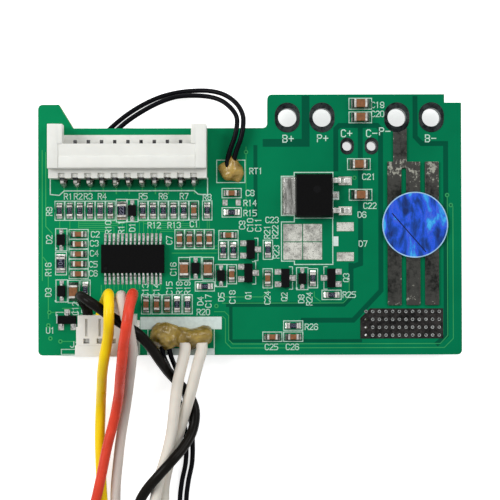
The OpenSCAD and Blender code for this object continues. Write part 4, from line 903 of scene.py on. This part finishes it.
# white ink: part frames, numbers and marks, numbered this script's own way
inkPen = {"frameLine": 0.12, "letterLine": 0.12, "letterHeight": 0.86, "letterStep": 0.70,
          "markHeight": 1.06, "markLine": 0.15, "markStep": 0.95, "dot": 0.16,
          "chipFrame": (0.72, 1.47), "bigFrame": (0.84, 1.74), "bigFrom": 1.9, "frameUpTo": 1.7,
          "bracket": (0.62, 1.12), "bracketEnd": 1.72, "diodeSide": 0.25, "diodeEnd": 0.85,
          "narrow": 0.92, "leadReach": 2.4}
letterStrokes = {  # pen points on a grid four wide and six high
    "0": "1,0 0,1 0,5 1,6 3,6 4,5 4,1 3,0 1,0", "1": "1,5 2,6 2,0",
    "2": "0,5 1,6 3,6 4,5 4,4 0,0 4,0", "3": "0,5 1,6 3,6 4,5 4,4 3,3 4,2 4,1 3,0 1,0 0,1",
    "4": "3,0 3,6 0,2 4,2", "5": "4,6 0,6 0,3.5 3,3.5 4,2.5 4,1 3,0 0,0",
    "6": "4,5 3,6 1,6 0,5 0,1 1,0 3,0 4,1 4,2.5 3,3.4 0,3.4", "7": "0,6 4,6 1.5,0",
    "8": "1,3 0,4 0,5 1,6 3,6 4,5 4,4 3,3 1,3 0,2 0,1 1,0 3,0 4,1 4,2 3,3",
    "9": "0,1 1,0 3,0 4,1 4,5 3,6 1,6 0,5 0,3.5 1,2.6 4,2.6",
    "R": "0,0 0,6 3,6 4,5 4,4 3,3 0,3 / 2,3 4,0", "C": "4,5 3,6 1,6 0,5 0,1 1,0 3,0 4,1",
    "D": "0,0 0,6 2.5,6 4,4.5 4,1.5 2.5,0 0,0",
    "Q": "1,0 0,1 0,5 1,6 3,6 4,5 4,1 3,0 1,0 / 2.5,1.5 4,0", "U": "0,6 0,1 1,0 3,0 4,1 4,6",
    "J": "4,6 4,1 3,0 1,0 0,1", "P": "0,0 0,6 3,6 4,5 4,4 3,3 0,3",
    "B": "0,0 0,6 3,6 4,5 4,4 3,3 0,3 / 3,3 4,2 4,1 3,0 0,0", "T": "0,6 4,6 / 2,6 2,0",
    "+": "0,3 4,3 / 2,5 2,1", "-": "0,3 4,3"}


def inkText(bm, text, x, y, turned, height, line, step, z):
    # centred on x, y; turned text reads upwards
    unit = height / 6
    wide = unit * inkPen["narrow"]
    start = -((len(text) - 1) * step + 4 * wide) / 2
    for k, letter in enumerate(text):
        for stroke in letterStrokes[letter].split(" / "):
            pen = [[float(v) for v in p.split(",")] for p in stroke.split()]
            pts = [(start + k * step + px * wide, (py - 3) * unit) for px, py in pen]
            if turned:
                pts = [(-b, a) for a, b in pts]
            ribbon(bm, [(x + a, y + b) for a, b in pts], line, z)


partNumbers = [  # letter, turned or not, places; each letter counts up from one
    ("R", 0, [(-27.88, 4.4), (-26.35, 4.4), (-24.82, 4.4), (-22.67, 4.4), (-16.38, 4.4),
             (-13.31, 4.4), (-10.09, 4.4), (-6.56, 4.25)]),
    ("R", 1, [(-30.8, 2.1), (-21.75, -0.35), (-19.75, -0.35)]), ("D", 1, [(-18.07, -0.35)]),
    ("R", 0, [(-14.69, -0.05), (-11.63, -0.05)]), ("C", 0, [(-8.56, 0.11)]),
    ("D", 1, [(-30.8, -2.19)]),
    ("C", 0, [(-23.74, -1.43), (-23.9, -2.81), (-23.9, -4.34), (-24.05, -6.03), (-24.05, -7.41)]),
    ("C", 1, [(-12.39, -2.35)]), ("C", 0, [(0.03, 4.86)]), ("R", 0, [(0.03, 3.33), (0.03, 1.79)]),
    ("C", 1, [(-1.2, -0.05), (0.03, -0.05), (1.26, -0.05)]), ("RT", 0, [(0.95, 8.24)]),
    ("R", 1, [(-30.95, -6.79)]), ("D", 1, [(-30.95, -10.32)]), ("C", 1, [(-26.81, -12.78)]),
    ("R", 1, [(-25.43, -12.47)]), ("U", 0, [(-30.64, -16.15)]), ("J", 0, [(-26.96, -18.3)]),
    ("C", 1, [(-16.07, -10.02), (-14.39, -10.02), (-12.39, -9.71)]),
    ("R", 1, [(-10.86, -9.71), (-9.63, -9.71)]), ("C", 1, [(-11.78, -6.79)]),
    ("D", 1, [(-7.64, -11.7)]), ("C", 1, [(-6.41, -11.7)]), ("R", 0, [(-7.18, -13.39)]),
    ("D", 1, [(-4.42, -11.09)]), ("C", 1, [(-2.73, -11.09)]), ("Q", 1, [(-0.28, -10.78)]),
    ("C", 0, [(19.66, 18.36), (19.66, 16.98), (18.28, 7.32), (18.44, 2.87)]),
    ("D", 0, [(17.21, 1.49), (17.36, -2.96)]), ("C", 0, [(3.4, 0.72)]),
    ("R", 1, [(2.64, -1.12), (3.87, -1.12), (4.02, -4.19)]), ("C", 1, [(2.64, -11.24)]),
    ("Q", 1, [(5.25, -11.09)]), ("D", 1, [(7.85, -11.4)]), ("R", 1, [(9.08, -11.4)]),
    ("R", 0, [(15.21, -10.78)]), ("Q", 1, [(14.75, -8.17)]), ("R", 0, [(9.39, -15.69)]),
    ("C", 0, [(3.25, -18.76), (6.47, -18.76)])]
terminalMarks = [("B+", 5.89, 13.2), ("P+", 11.2, 13.25), ("C+", 14.88, 14.0), ("C-", 18.74, 14.0),
                 ("P-", 20.74, 14.3), ("B-", 27.79, 13.2)]
inkOutlines = [
    (0.16, 0, [(-30.64, 7.16), (-30.64, 4.71), (-29.26, 4.56), (-28.5, 5.25), (-8.56, 5.25),
               (-7.94, 4.71), (-6.49, 4.56), (-6.49, 7.16)]),
    (0.12, 1, [(-5.08, 6.47), (-0.74, 6.47), (-0.74, 9.92), (-5.08, 9.92)]),
    (0.14, 1, [(4.83, 7.42), (6.81, 7.42), (6.81, 8.01), (12.76, 8.01), (12.76, 0.98),
               (6.81, 0.98), (6.81, 1.41), (4.83, 1.41)]),
    (0.14, 0, [(6.81, 0.98), (6.81, 0.41), (4.83, 0.41), (4.83, -5.61), (6.81, -5.61),
               (6.81, -6.13), (12.71, -6.13), (12.71, 0.98)]),
    (0.12, 0, [(-18.37, -13.7), (-17.38, -13.7), (-17.38, -14.77)]),
    (0.12, 1, [(-28.96, -19.06), (-26.04, -19.06), (-26.04, -19.83), (-28.96, -19.83)]),
    (0.14, 0, [(-15.69, -16.0), (-15.69, -18.96)]),
    (0.14, 0, [(-5.52, -16.0), (-5.52, -18.96)]),
]
inkBars = [(-16.84, -16.03, -4.37, -14.11), (-15.81, -19.98, -5.46, -18.96),
           (-29.72, -15.08, -29.52, -13.7), (12.81, -3.31, 13.57, -1.84),
           (12.81, 3.79, 13.71, 5.06)]
inkDots = [(-29.72, -3.57), (-29.83, -11.63), (7.16, -9.79), (-5.29, -9.33)]


def middleAndSpan(box):
    return middleOf(box) / mm, (box[1] - box[0]) / mm


def drawInk():
    z = boardTop + inkLift
    line = inkPen["frameLine"]
    bm = bmesh.new()
    count = {}
    for letter, turned, places in partNumbers:
        for x, y in places:
            count[letter] = count.get(letter, 0) + 1
            inkText(bm, letter + str(count[letter]), x, y, turned, inkPen["letterHeight"],
                    inkPen["letterLine"], inkPen["letterStep"], z)
    for text, x, y in terminalMarks:
        inkText(bm, text, x, y, 0, inkPen["markHeight"], inkPen["markLine"], inkPen["markStep"], z)
    flatPiece("part_numbers", bm, "silk")

    bm = bmesh.new()
    for width, closed, route in inkOutlines:
        ribbon(bm, route, width, z, closed=bool(closed))
    for x, y in inkDots:
        disc(bm, x, y, inkPen["dot"], z, 12)
    # a frame round each chip
    for nodeName in chipNodes:
        for box in islands(nodeName):
            mid, span = middleAndSpan(box)
            if min(span.x, span.y) > inkPen["frameUpTo"]:
                continue
            hx, hy = inkPen["bigFrame" if max(span.x, span.y) > inkPen["bigFrom"] else "chipFrame"]
            if span.x > span.y:
                hx, hy = hy, hx
            frameBetween(bm, mid.x - hx, mid.y - hy, mid.x + hx, mid.y + hy, line, z)
    # brackets at each small transistor's single lead
    leads = [middleOf(b) / mm for b in islands("transistor_leads")]
    near, far = inkPen["bracket"]
    for box in islands("transistor_bodies"):
        mid, span = middleAndSpan(box)
        across = 0 if span.y > span.x else 1
        plus = sum(1 for p in leads
                   if (p - mid).length < inkPen["leadReach"] and (p - mid)[across] > 0)
        way = 1 if plus == 1 else -1
        for half in (1, -1):
            end = inkPen["bracketEnd"] * half
            pts = [(near * way, end), (far * way, end), (far * way, near * half)]
            if across:
                pts = [(b, a) for a, b in pts]
            ribbon(bm, [(mid.x + a, mid.y + b) for a, b in pts], line, z)
    for box in islands("small_diode_bodies"):
        mid, span = middleAndSpan(box)
        more = inkPen["diodeSide"], inkPen["diodeEnd"]
        if span.y <= span.x:
            more = more[::-1]
        hx, hy = span.x / 2 + more[0], span.y / 2 + more[1]
        frameBetween(bm, mid.x - hx, mid.y - hy, mid.x + hx, mid.y + hy, line, z)
    flatPiece("part_frames", bm, "silk")

    bm = bmesh.new()
    for x0, y0, x1, y1 in inkBars:
        patch(bm, (x0, y0), (x1, y1), z - 3e-6)
    flatPiece("ink_bars", bm, "silkBar")


drawInk()
print("ink drawn")

# dark glaze with a plain value code on each resistor
valueCodes = {"lift": 0.014, "inset": 0.03, "ends": 0.17, "height": 0.44, "line": 0.06,
              "step": 0.40, "digits": ["103", "102", "472", "104", "222"]}


def glazeResistors():
    glaze, codes = bmesh.new(), bmesh.new()
    turn = 0
    for nodeName in chipNodes[:3]:
        for low, high in islands(nodeName):
            span = high - low
            along = 0 if span.x > span.y else 1
            cut = [valueCodes["inset"] * mm] * 2
            cut[along] = span[along] * valueCodes["ends"]
            a = Vector((low.x + cut[0], low.y + cut[1], high.z - 4e-6))
            b = Vector((high.x - cut[0], high.y - cut[1], high.z + valueCodes["lift"] * mm))
            boxPiece(glaze, a, b, 0.006 * mm, 1)
            mid = (a + b) / 2 / mm
            size = min(span.x, span.y) / mm
            inkText(codes, valueCodes["digits"][turn % 5], mid.x, mid.y, along == 1,
                    size * valueCodes["height"], size * valueCodes["line"],
                    size * valueCodes["step"], b.z + 3e-6)
            turn += 1
    bmesh.ops.recalc_face_normals(glaze, faces=glaze.faces)
    finishPiece("resistor_glaze", glaze, "overglaze")
    flatPiece("value_codes", codes, "codeInk")


glazeResistors()

# bright rims where the field's holes are plated through, and painted shade in the holes
viaField = {"columns": 12, "pitchX": 1.02, "rows": 4, "pitchY": 1.21, "rightInset": 0.6,
            "lowInset": 0.5, "rim": 0.25, "hole": 0.16}


def drawViaField():
    low, high = boxInMm("via_field")
    rims, holes = bmesh.new(), bmesh.new()
    for c in range(viaField["columns"]):
        for r in range(viaField["rows"]):
            if c == viaField["columns"] - 1 and r < viaField["rows"] - 1:
                continue
            x = high.x - viaField["rightInset"] - c * viaField["pitchX"]
            y = low.y + viaField["lowInset"] + r * viaField["pitchY"]
            flatRing(rims, x, y, viaField["rim"], viaField["hole"], high.z * mm + 4e-6, 16)
            disc(holes, x, y, viaField["hole"] * 1.02, high.z * mm + 3e-6, 16)
    flatPiece("via_field_rims", rims, "viaRim")
    flatPiece("via_field_holes", holes, "pinTip")


drawViaField()

# foil sticker: a creased film with a paler rim and one ruled line, its words are left off
stickerFilm = {"shift": (0.27, 0.02), "thick": 0.1, "rim": 0.17, "crease": 0.018,
               "creaseSize": 420, "segments": 96, "rings": 7, "steep": 0.3, "printLift": 0.006,
               "rule": [(-3.5, 1.72), (1.6, -4.12)], "ruleWidth": 0.14}


def makeSticker():
    low, high = boxInMm("inspection_sticker")
    mid = (low + high) / 2 + Vector((*stickerFilm["shift"], 0))
    r, bottom = (high.x - low.x) / 2, low.z
    s = stickerFilm
    bm = bmesh.new()
    bmesh.ops.create_circle(bm, cap_ends=True, segments=s["segments"], radius=r * mm)
    for _ in range(s["rings"]):
        bmesh.ops.inset_region(bm, faces=[f for f in bm.faces if len(f.verts) > 4],
                               thickness=r / (s["rings"] + 1) * mm)
    bmesh.ops.translate(bm, vec=(mid.x * mm, mid.y * mm, (bottom + s["thick"]) * mm),
                        verts=bm.verts)
    for v in bm.verts:
        v.co.z += noise.noise(v.co * s["creaseSize"]) * s["crease"] * mm
    edges = [e for e in bm.edges if e.is_boundary]
    for v in bmesh.ops.extrude_edge_only(bm, edges=edges)["geom"]:
        if isinstance(v, bmesh.types.BMVert):
            v.co.z = bottom * mm
    bmesh.ops.contextual_create(bm, geom=[e for e in bm.edges if e.is_boundary])
    bmesh.ops.recalc_face_normals(bm, faces=bm.faces)
    for f in bm.faces:
        f.material_index = 1 if abs(f.normal.z) < s["steep"] else 0
    film = finishPiece("sticker_foil", bm, "sticker stickerRim", 50)
    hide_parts("inspection_sticker")
    z = (bottom + s["thick"] + s["crease"] + s["printLift"]) * mm
    bm = bmesh.new()
    ribbon(bm, [(mid.x + x, mid.y + y) for x, y in s["rule"]], s["ruleWidth"], z)
    flatPiece("sticker_rule", bm, "stickerInk")
    bm = bmesh.new()
    flatRing(bm, mid.x, mid.y, r, r - s["rim"], z, s["segments"])
    flatPiece("sticker_rim", bm, "stickerRim")


makeSticker()
print("small marks drawn")

# fixing glue: run-together heaps with a lumpy skin, lobes are x, y, radius, height in millimetres
glueHeaps = {
    "sensor_glue": {"piece": "sensor_glue_blob", "mat": "paleGlue", "from": (1.9, 1.7),
                    "lobes": [(0, 0.2, 1.8, 1.5), (0.2, 1.35, 1.2, 1.3), (1.0, -0.2, 1.0, 1.0),
                              (-1.0, 0.3, 1.0, 1.1), (0.9, -0.9, 0.8, 0.8)]},
    "output_glue": {"piece": "output_glue_blob", "mat": "darkGlue", "from": (4.9, 2.3),
                    "lobes": [(-3.1, 0.7, 1.7, 1.8), (-3.3, -0.3, 1.7, 2.2),
                              (-2.2, -0.6, 1.6, 2.2), (-1.0, 0.1, 1.7, 1.5),
                              (0.3, -0.1, 1.8, 2.0), (1.4, -0.3, 1.7, 2.1),
                              (2.4, -0.1, 1.7, 2.0), (3.2, 0.1, 1.6, 2.2)]},
}
glueSkin = {"voxel": 0.13, "lump": 0.42, "lumpSize": 560, "pore": 0.07, "poreSize": 2000,
            "sink": 0.06, "smooth": 0.6, "passes": 45}


def makeGlue(nodeName):
    heap = glueHeaps[nodeName]
    low = Vector(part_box(nodeName)[0]) / mm
    x0, y0 = low.x + heap["from"][0], low.y + heap["from"][1]
    bm = bmesh.new()
    for x, y, r, h in heap["lobes"]:
        ball = bmesh.ops.create_uvsphere(bm, u_segments=28, v_segments=16, radius=1)["verts"]
        bmesh.ops.scale(bm, vec=(r * mm, r * mm, h * mm), verts=ball)
        bmesh.ops.translate(bm, vec=((x0 + x) * mm, (y0 + y) * mm, boardTop), verts=ball)
    blob = finishPiece(heap["piece"], bm, heap["mat"])
    remesh = blob.modifiers.new("runTogether", "REMESH")
    remesh.mode = "VOXEL"
    remesh.voxel_size = glueSkin["voxel"] * mm
    even = blob.modifiers.new("even", "SMOOTH")
    even.factor, even.iterations = glueSkin["smooth"], glueSkin["passes"]
    bakeModifiers(blob)
    bm = bmesh.new()
    bm.from_mesh(blob.data)
    bm.normal_update()
    for v in bm.verts:
        lump = noise.noise(v.co * glueSkin["lumpSize"]) * glueSkin["lump"]
        pore = noise.noise(v.co * glueSkin["poreSize"]) * glueSkin["pore"]
        v.co += v.normal * (lump + pore - glueSkin["sink"]) * mm
    cutAtBoard(bm)
    bmesh.ops.contextual_create(bm, geom=[e for e in bm.edges if e.is_boundary])
    bmesh.ops.recalc_face_normals(bm, faces=bm.faces)
    bm.to_mesh(blob.data)
    bm.free()
    blob.data.shade_smooth()
    blob.data.materials.clear()
    blob.data.materials.append(mats[heap["mat"]])
    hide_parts(nodeName)


for nodeName in glueHeaps:
    makeGlue(nodeName)

# hand-soldered domes along the header
headerDomes = {"radiusX": 0.64, "radiusY": 0.84, "height": 1.5, "lump": 0.2, "lumpSize": 1100}


def makeHeaderDomes():
    bm = bmesh.new()
    for low, high in islands("cell_header_joints"):
        x, y = (low.x + high.x) / 2, low.y + headerDomes["radiusY"] * mm
        ball = bmesh.ops.create_uvsphere(bm, u_segments=20, v_segments=14, radius=1)["verts"]
        bmesh.ops.scale(bm, vec=(headerDomes["radiusX"] * mm, headerDomes["radiusY"] * mm,
                                 headerDomes["height"] * mm), verts=ball)
        bmesh.ops.translate(bm, vec=(x, y, boardTop + 0.05 * mm), verts=ball)
        for v in ball:
            shift = noise.noise(v.co * headerDomes["lumpSize"]) * headerDomes["lump"] * mm
            v.co += (v.co - Vector((x, y, boardTop))).normalized() * shift
    cutAtBoard(bm)
    bmesh.ops.holes_fill(bm, edges=[e for e in bm.edges if e.is_boundary])
    bmesh.ops.recalc_face_normals(bm, faces=bm.faces)
    domes = finishPiece("header_solder_domes", bm, "solderDome", 50)
    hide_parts("cell_header_joints")


makeHeaderDomes()
print("glue and domes made")

# moulded relief of the cell header: ear caps, front step and the webs between its teeth
headerRelief = {"earWidth": 1.62, "capRise": 0.14, "stepY": (1.5, 3.25), "stepRise": 0.09,
                "webWidth": 1.04, "webY": (0.12, 0.78), "webZ": (2.75, 3.1), "ledge": 1.4,
                "cheekBack": 0.77, "cheekOver": 0.12, "cheekPast": 0.08, "cheekLap": 0.1,
                "cheekDrop": 0.02, "inset": 0.01, "sunk": 0.15, "backInset": 0.08,
                "earGap": 0.06, "blockRound": 0.08, "webRound": 0.05}


def makeHeaderRelief():
    s = headerRelief
    low, high = boxInMm("cell_header_housing")
    ear, cap, back = s["earWidth"], high.z + s["capRise"], high.y - s["backInset"]
    bm = bmesh.new()
    blocks = []
    for x in (low.x + s["inset"], high.x - s["inset"] - ear):
        blocks.append(((x, low.y + s["ledge"] + s["inset"], high.z - s["sunk"]),
                       (x + ear, back, cap)))
    edge = ear + s["earGap"]
    blocks.append(((low.x + edge, low.y + s["stepY"][0], high.z - s["sunk"]),
                   (high.x - edge, low.y + s["stepY"][1], high.z + s["stepRise"])))
    # thick inner cheeks of the ears, over the tips of the outer two pins
    pins = sorted(islands("cell_header_pins"), key=lambda box: box[0].x)
    tip = pins[0][1] / mm
    for left, right in ((low.x + ear - s["cheekLap"], tip.x + s["cheekPast"]),
                        (pins[-1][0].x / mm - s["cheekPast"], high.x - ear + s["cheekLap"])):
        blocks.append(((left, tip.y - s["cheekBack"], tip.z + s["cheekOver"]),
                       (right, back, cap - s["cheekDrop"])))
    for a, b in blocks:
        boxPiece(bm, Vector(a) * mm, Vector(b) * mm, s["blockRound"] * mm, 3)
    (y0, y1), (z0, z1) = s["webY"], s["webZ"]
    for a, b in islands("cell_header_joints"):
        x, half = (a.x + b.x) / 2 / mm, s["webWidth"] / 2
        boxPiece(bm, Vector((x - half, low.y + y0, low.z + z0)) * mm,
                 Vector((x + half, low.y + y1, low.z + z1)) * mm, s["webRound"] * mm, 2)
    bmesh.ops.recalc_face_normals(bm, faces=bm.faces)
    finishPiece("header_relief", bm, "ivory", 35)


makeHeaderRelief()

# moulded dimples: pin one of the monitor, ejector mark of the diode
dimples = {"pinOneInset": 0.75, "pinOne": 0.28, "ejectorShift": (0.4, 0.9), "ejector": 0.55}


def makeDimples():
    bm = bmesh.new()
    low, high = boxInMm("monitor_body")
    inset = dimples["pinOneInset"]
    disc(bm, low.x + inset, low.y + inset, dimples["pinOne"], high.z * mm + 4e-6, 20)
    low, high = boxInMm("charge_diode_body")
    dx, dy = dimples["ejectorShift"]
    disc(bm, (low.x + high.x) / 2 + dx, (low.y + high.y) / 2 + dy, dimples["ejector"],
         high.z * mm + 4e-6, 24)
    flatPiece("package_dimples", bm, "dimple")


makeDimples()
print("moulded relief made")

# underside: frames and numbers by the power parts, gaps between the heavy copper areas
underInk = {"line": 0.15, "letterHeight": 1.1, "step": 0.95, "textAbove": 1.0, "first": 31,
            "gap": 0.7, "reach": 0.45,
            "gaps": [[(-32.0, -9.6), (-6.0, -9.6), (-3.0, -6.6), (13.0, -6.6)],
                     [(-32.0, 4.4), (2.0, 4.4), (4.4, 6.8), (4.4, 9.2), (31.0, 9.2)]]}


def drawUnderside():
    s = underInk
    z, reach = boardUnder - inkLift, s["reach"]
    ink, gaps = bmesh.new(), bmesh.new()
    for nodeName, letter in (("power_transistor_bodies", "Q"), ("shunt_resistors", "R")):
        for k, (low, high) in enumerate(islands(nodeName)):
            a, b = low / mm, high / mm
            frameBetween(ink, a.x - reach, a.y - reach, b.x + reach, b.y + reach, s["line"], z)
            letters = bmesh.new()
            inkText(letters, letter + str(s["first"] + k), 0, 0, 0, s["letterHeight"], s["line"],
                    s["step"], z)
            bmesh.ops.scale(letters, vec=(-1, 1, 1), verts=letters.verts)  # reads from below
            spot = ((a.x + b.x) / 2 * mm, (b.y + reach + s["textAbove"]) * mm, 0)
            bmesh.ops.translate(letters, vec=spot, verts=letters.verts)
            joined = bpy.data.meshes.new("letters")
            letters.to_mesh(joined)
            letters.free()
            ink.from_mesh(joined)
            bpy.data.meshes.remove(joined)
    for route in s["gaps"]:
        ribbon(gaps, route, s["gap"], boardUnder - gapLift)
    flatPiece("under_ink", ink, "silk", way=-1)
    flatPiece("under_gaps", gaps, "maskGap", way=-1)


drawUnderside()
print("underside drawn")
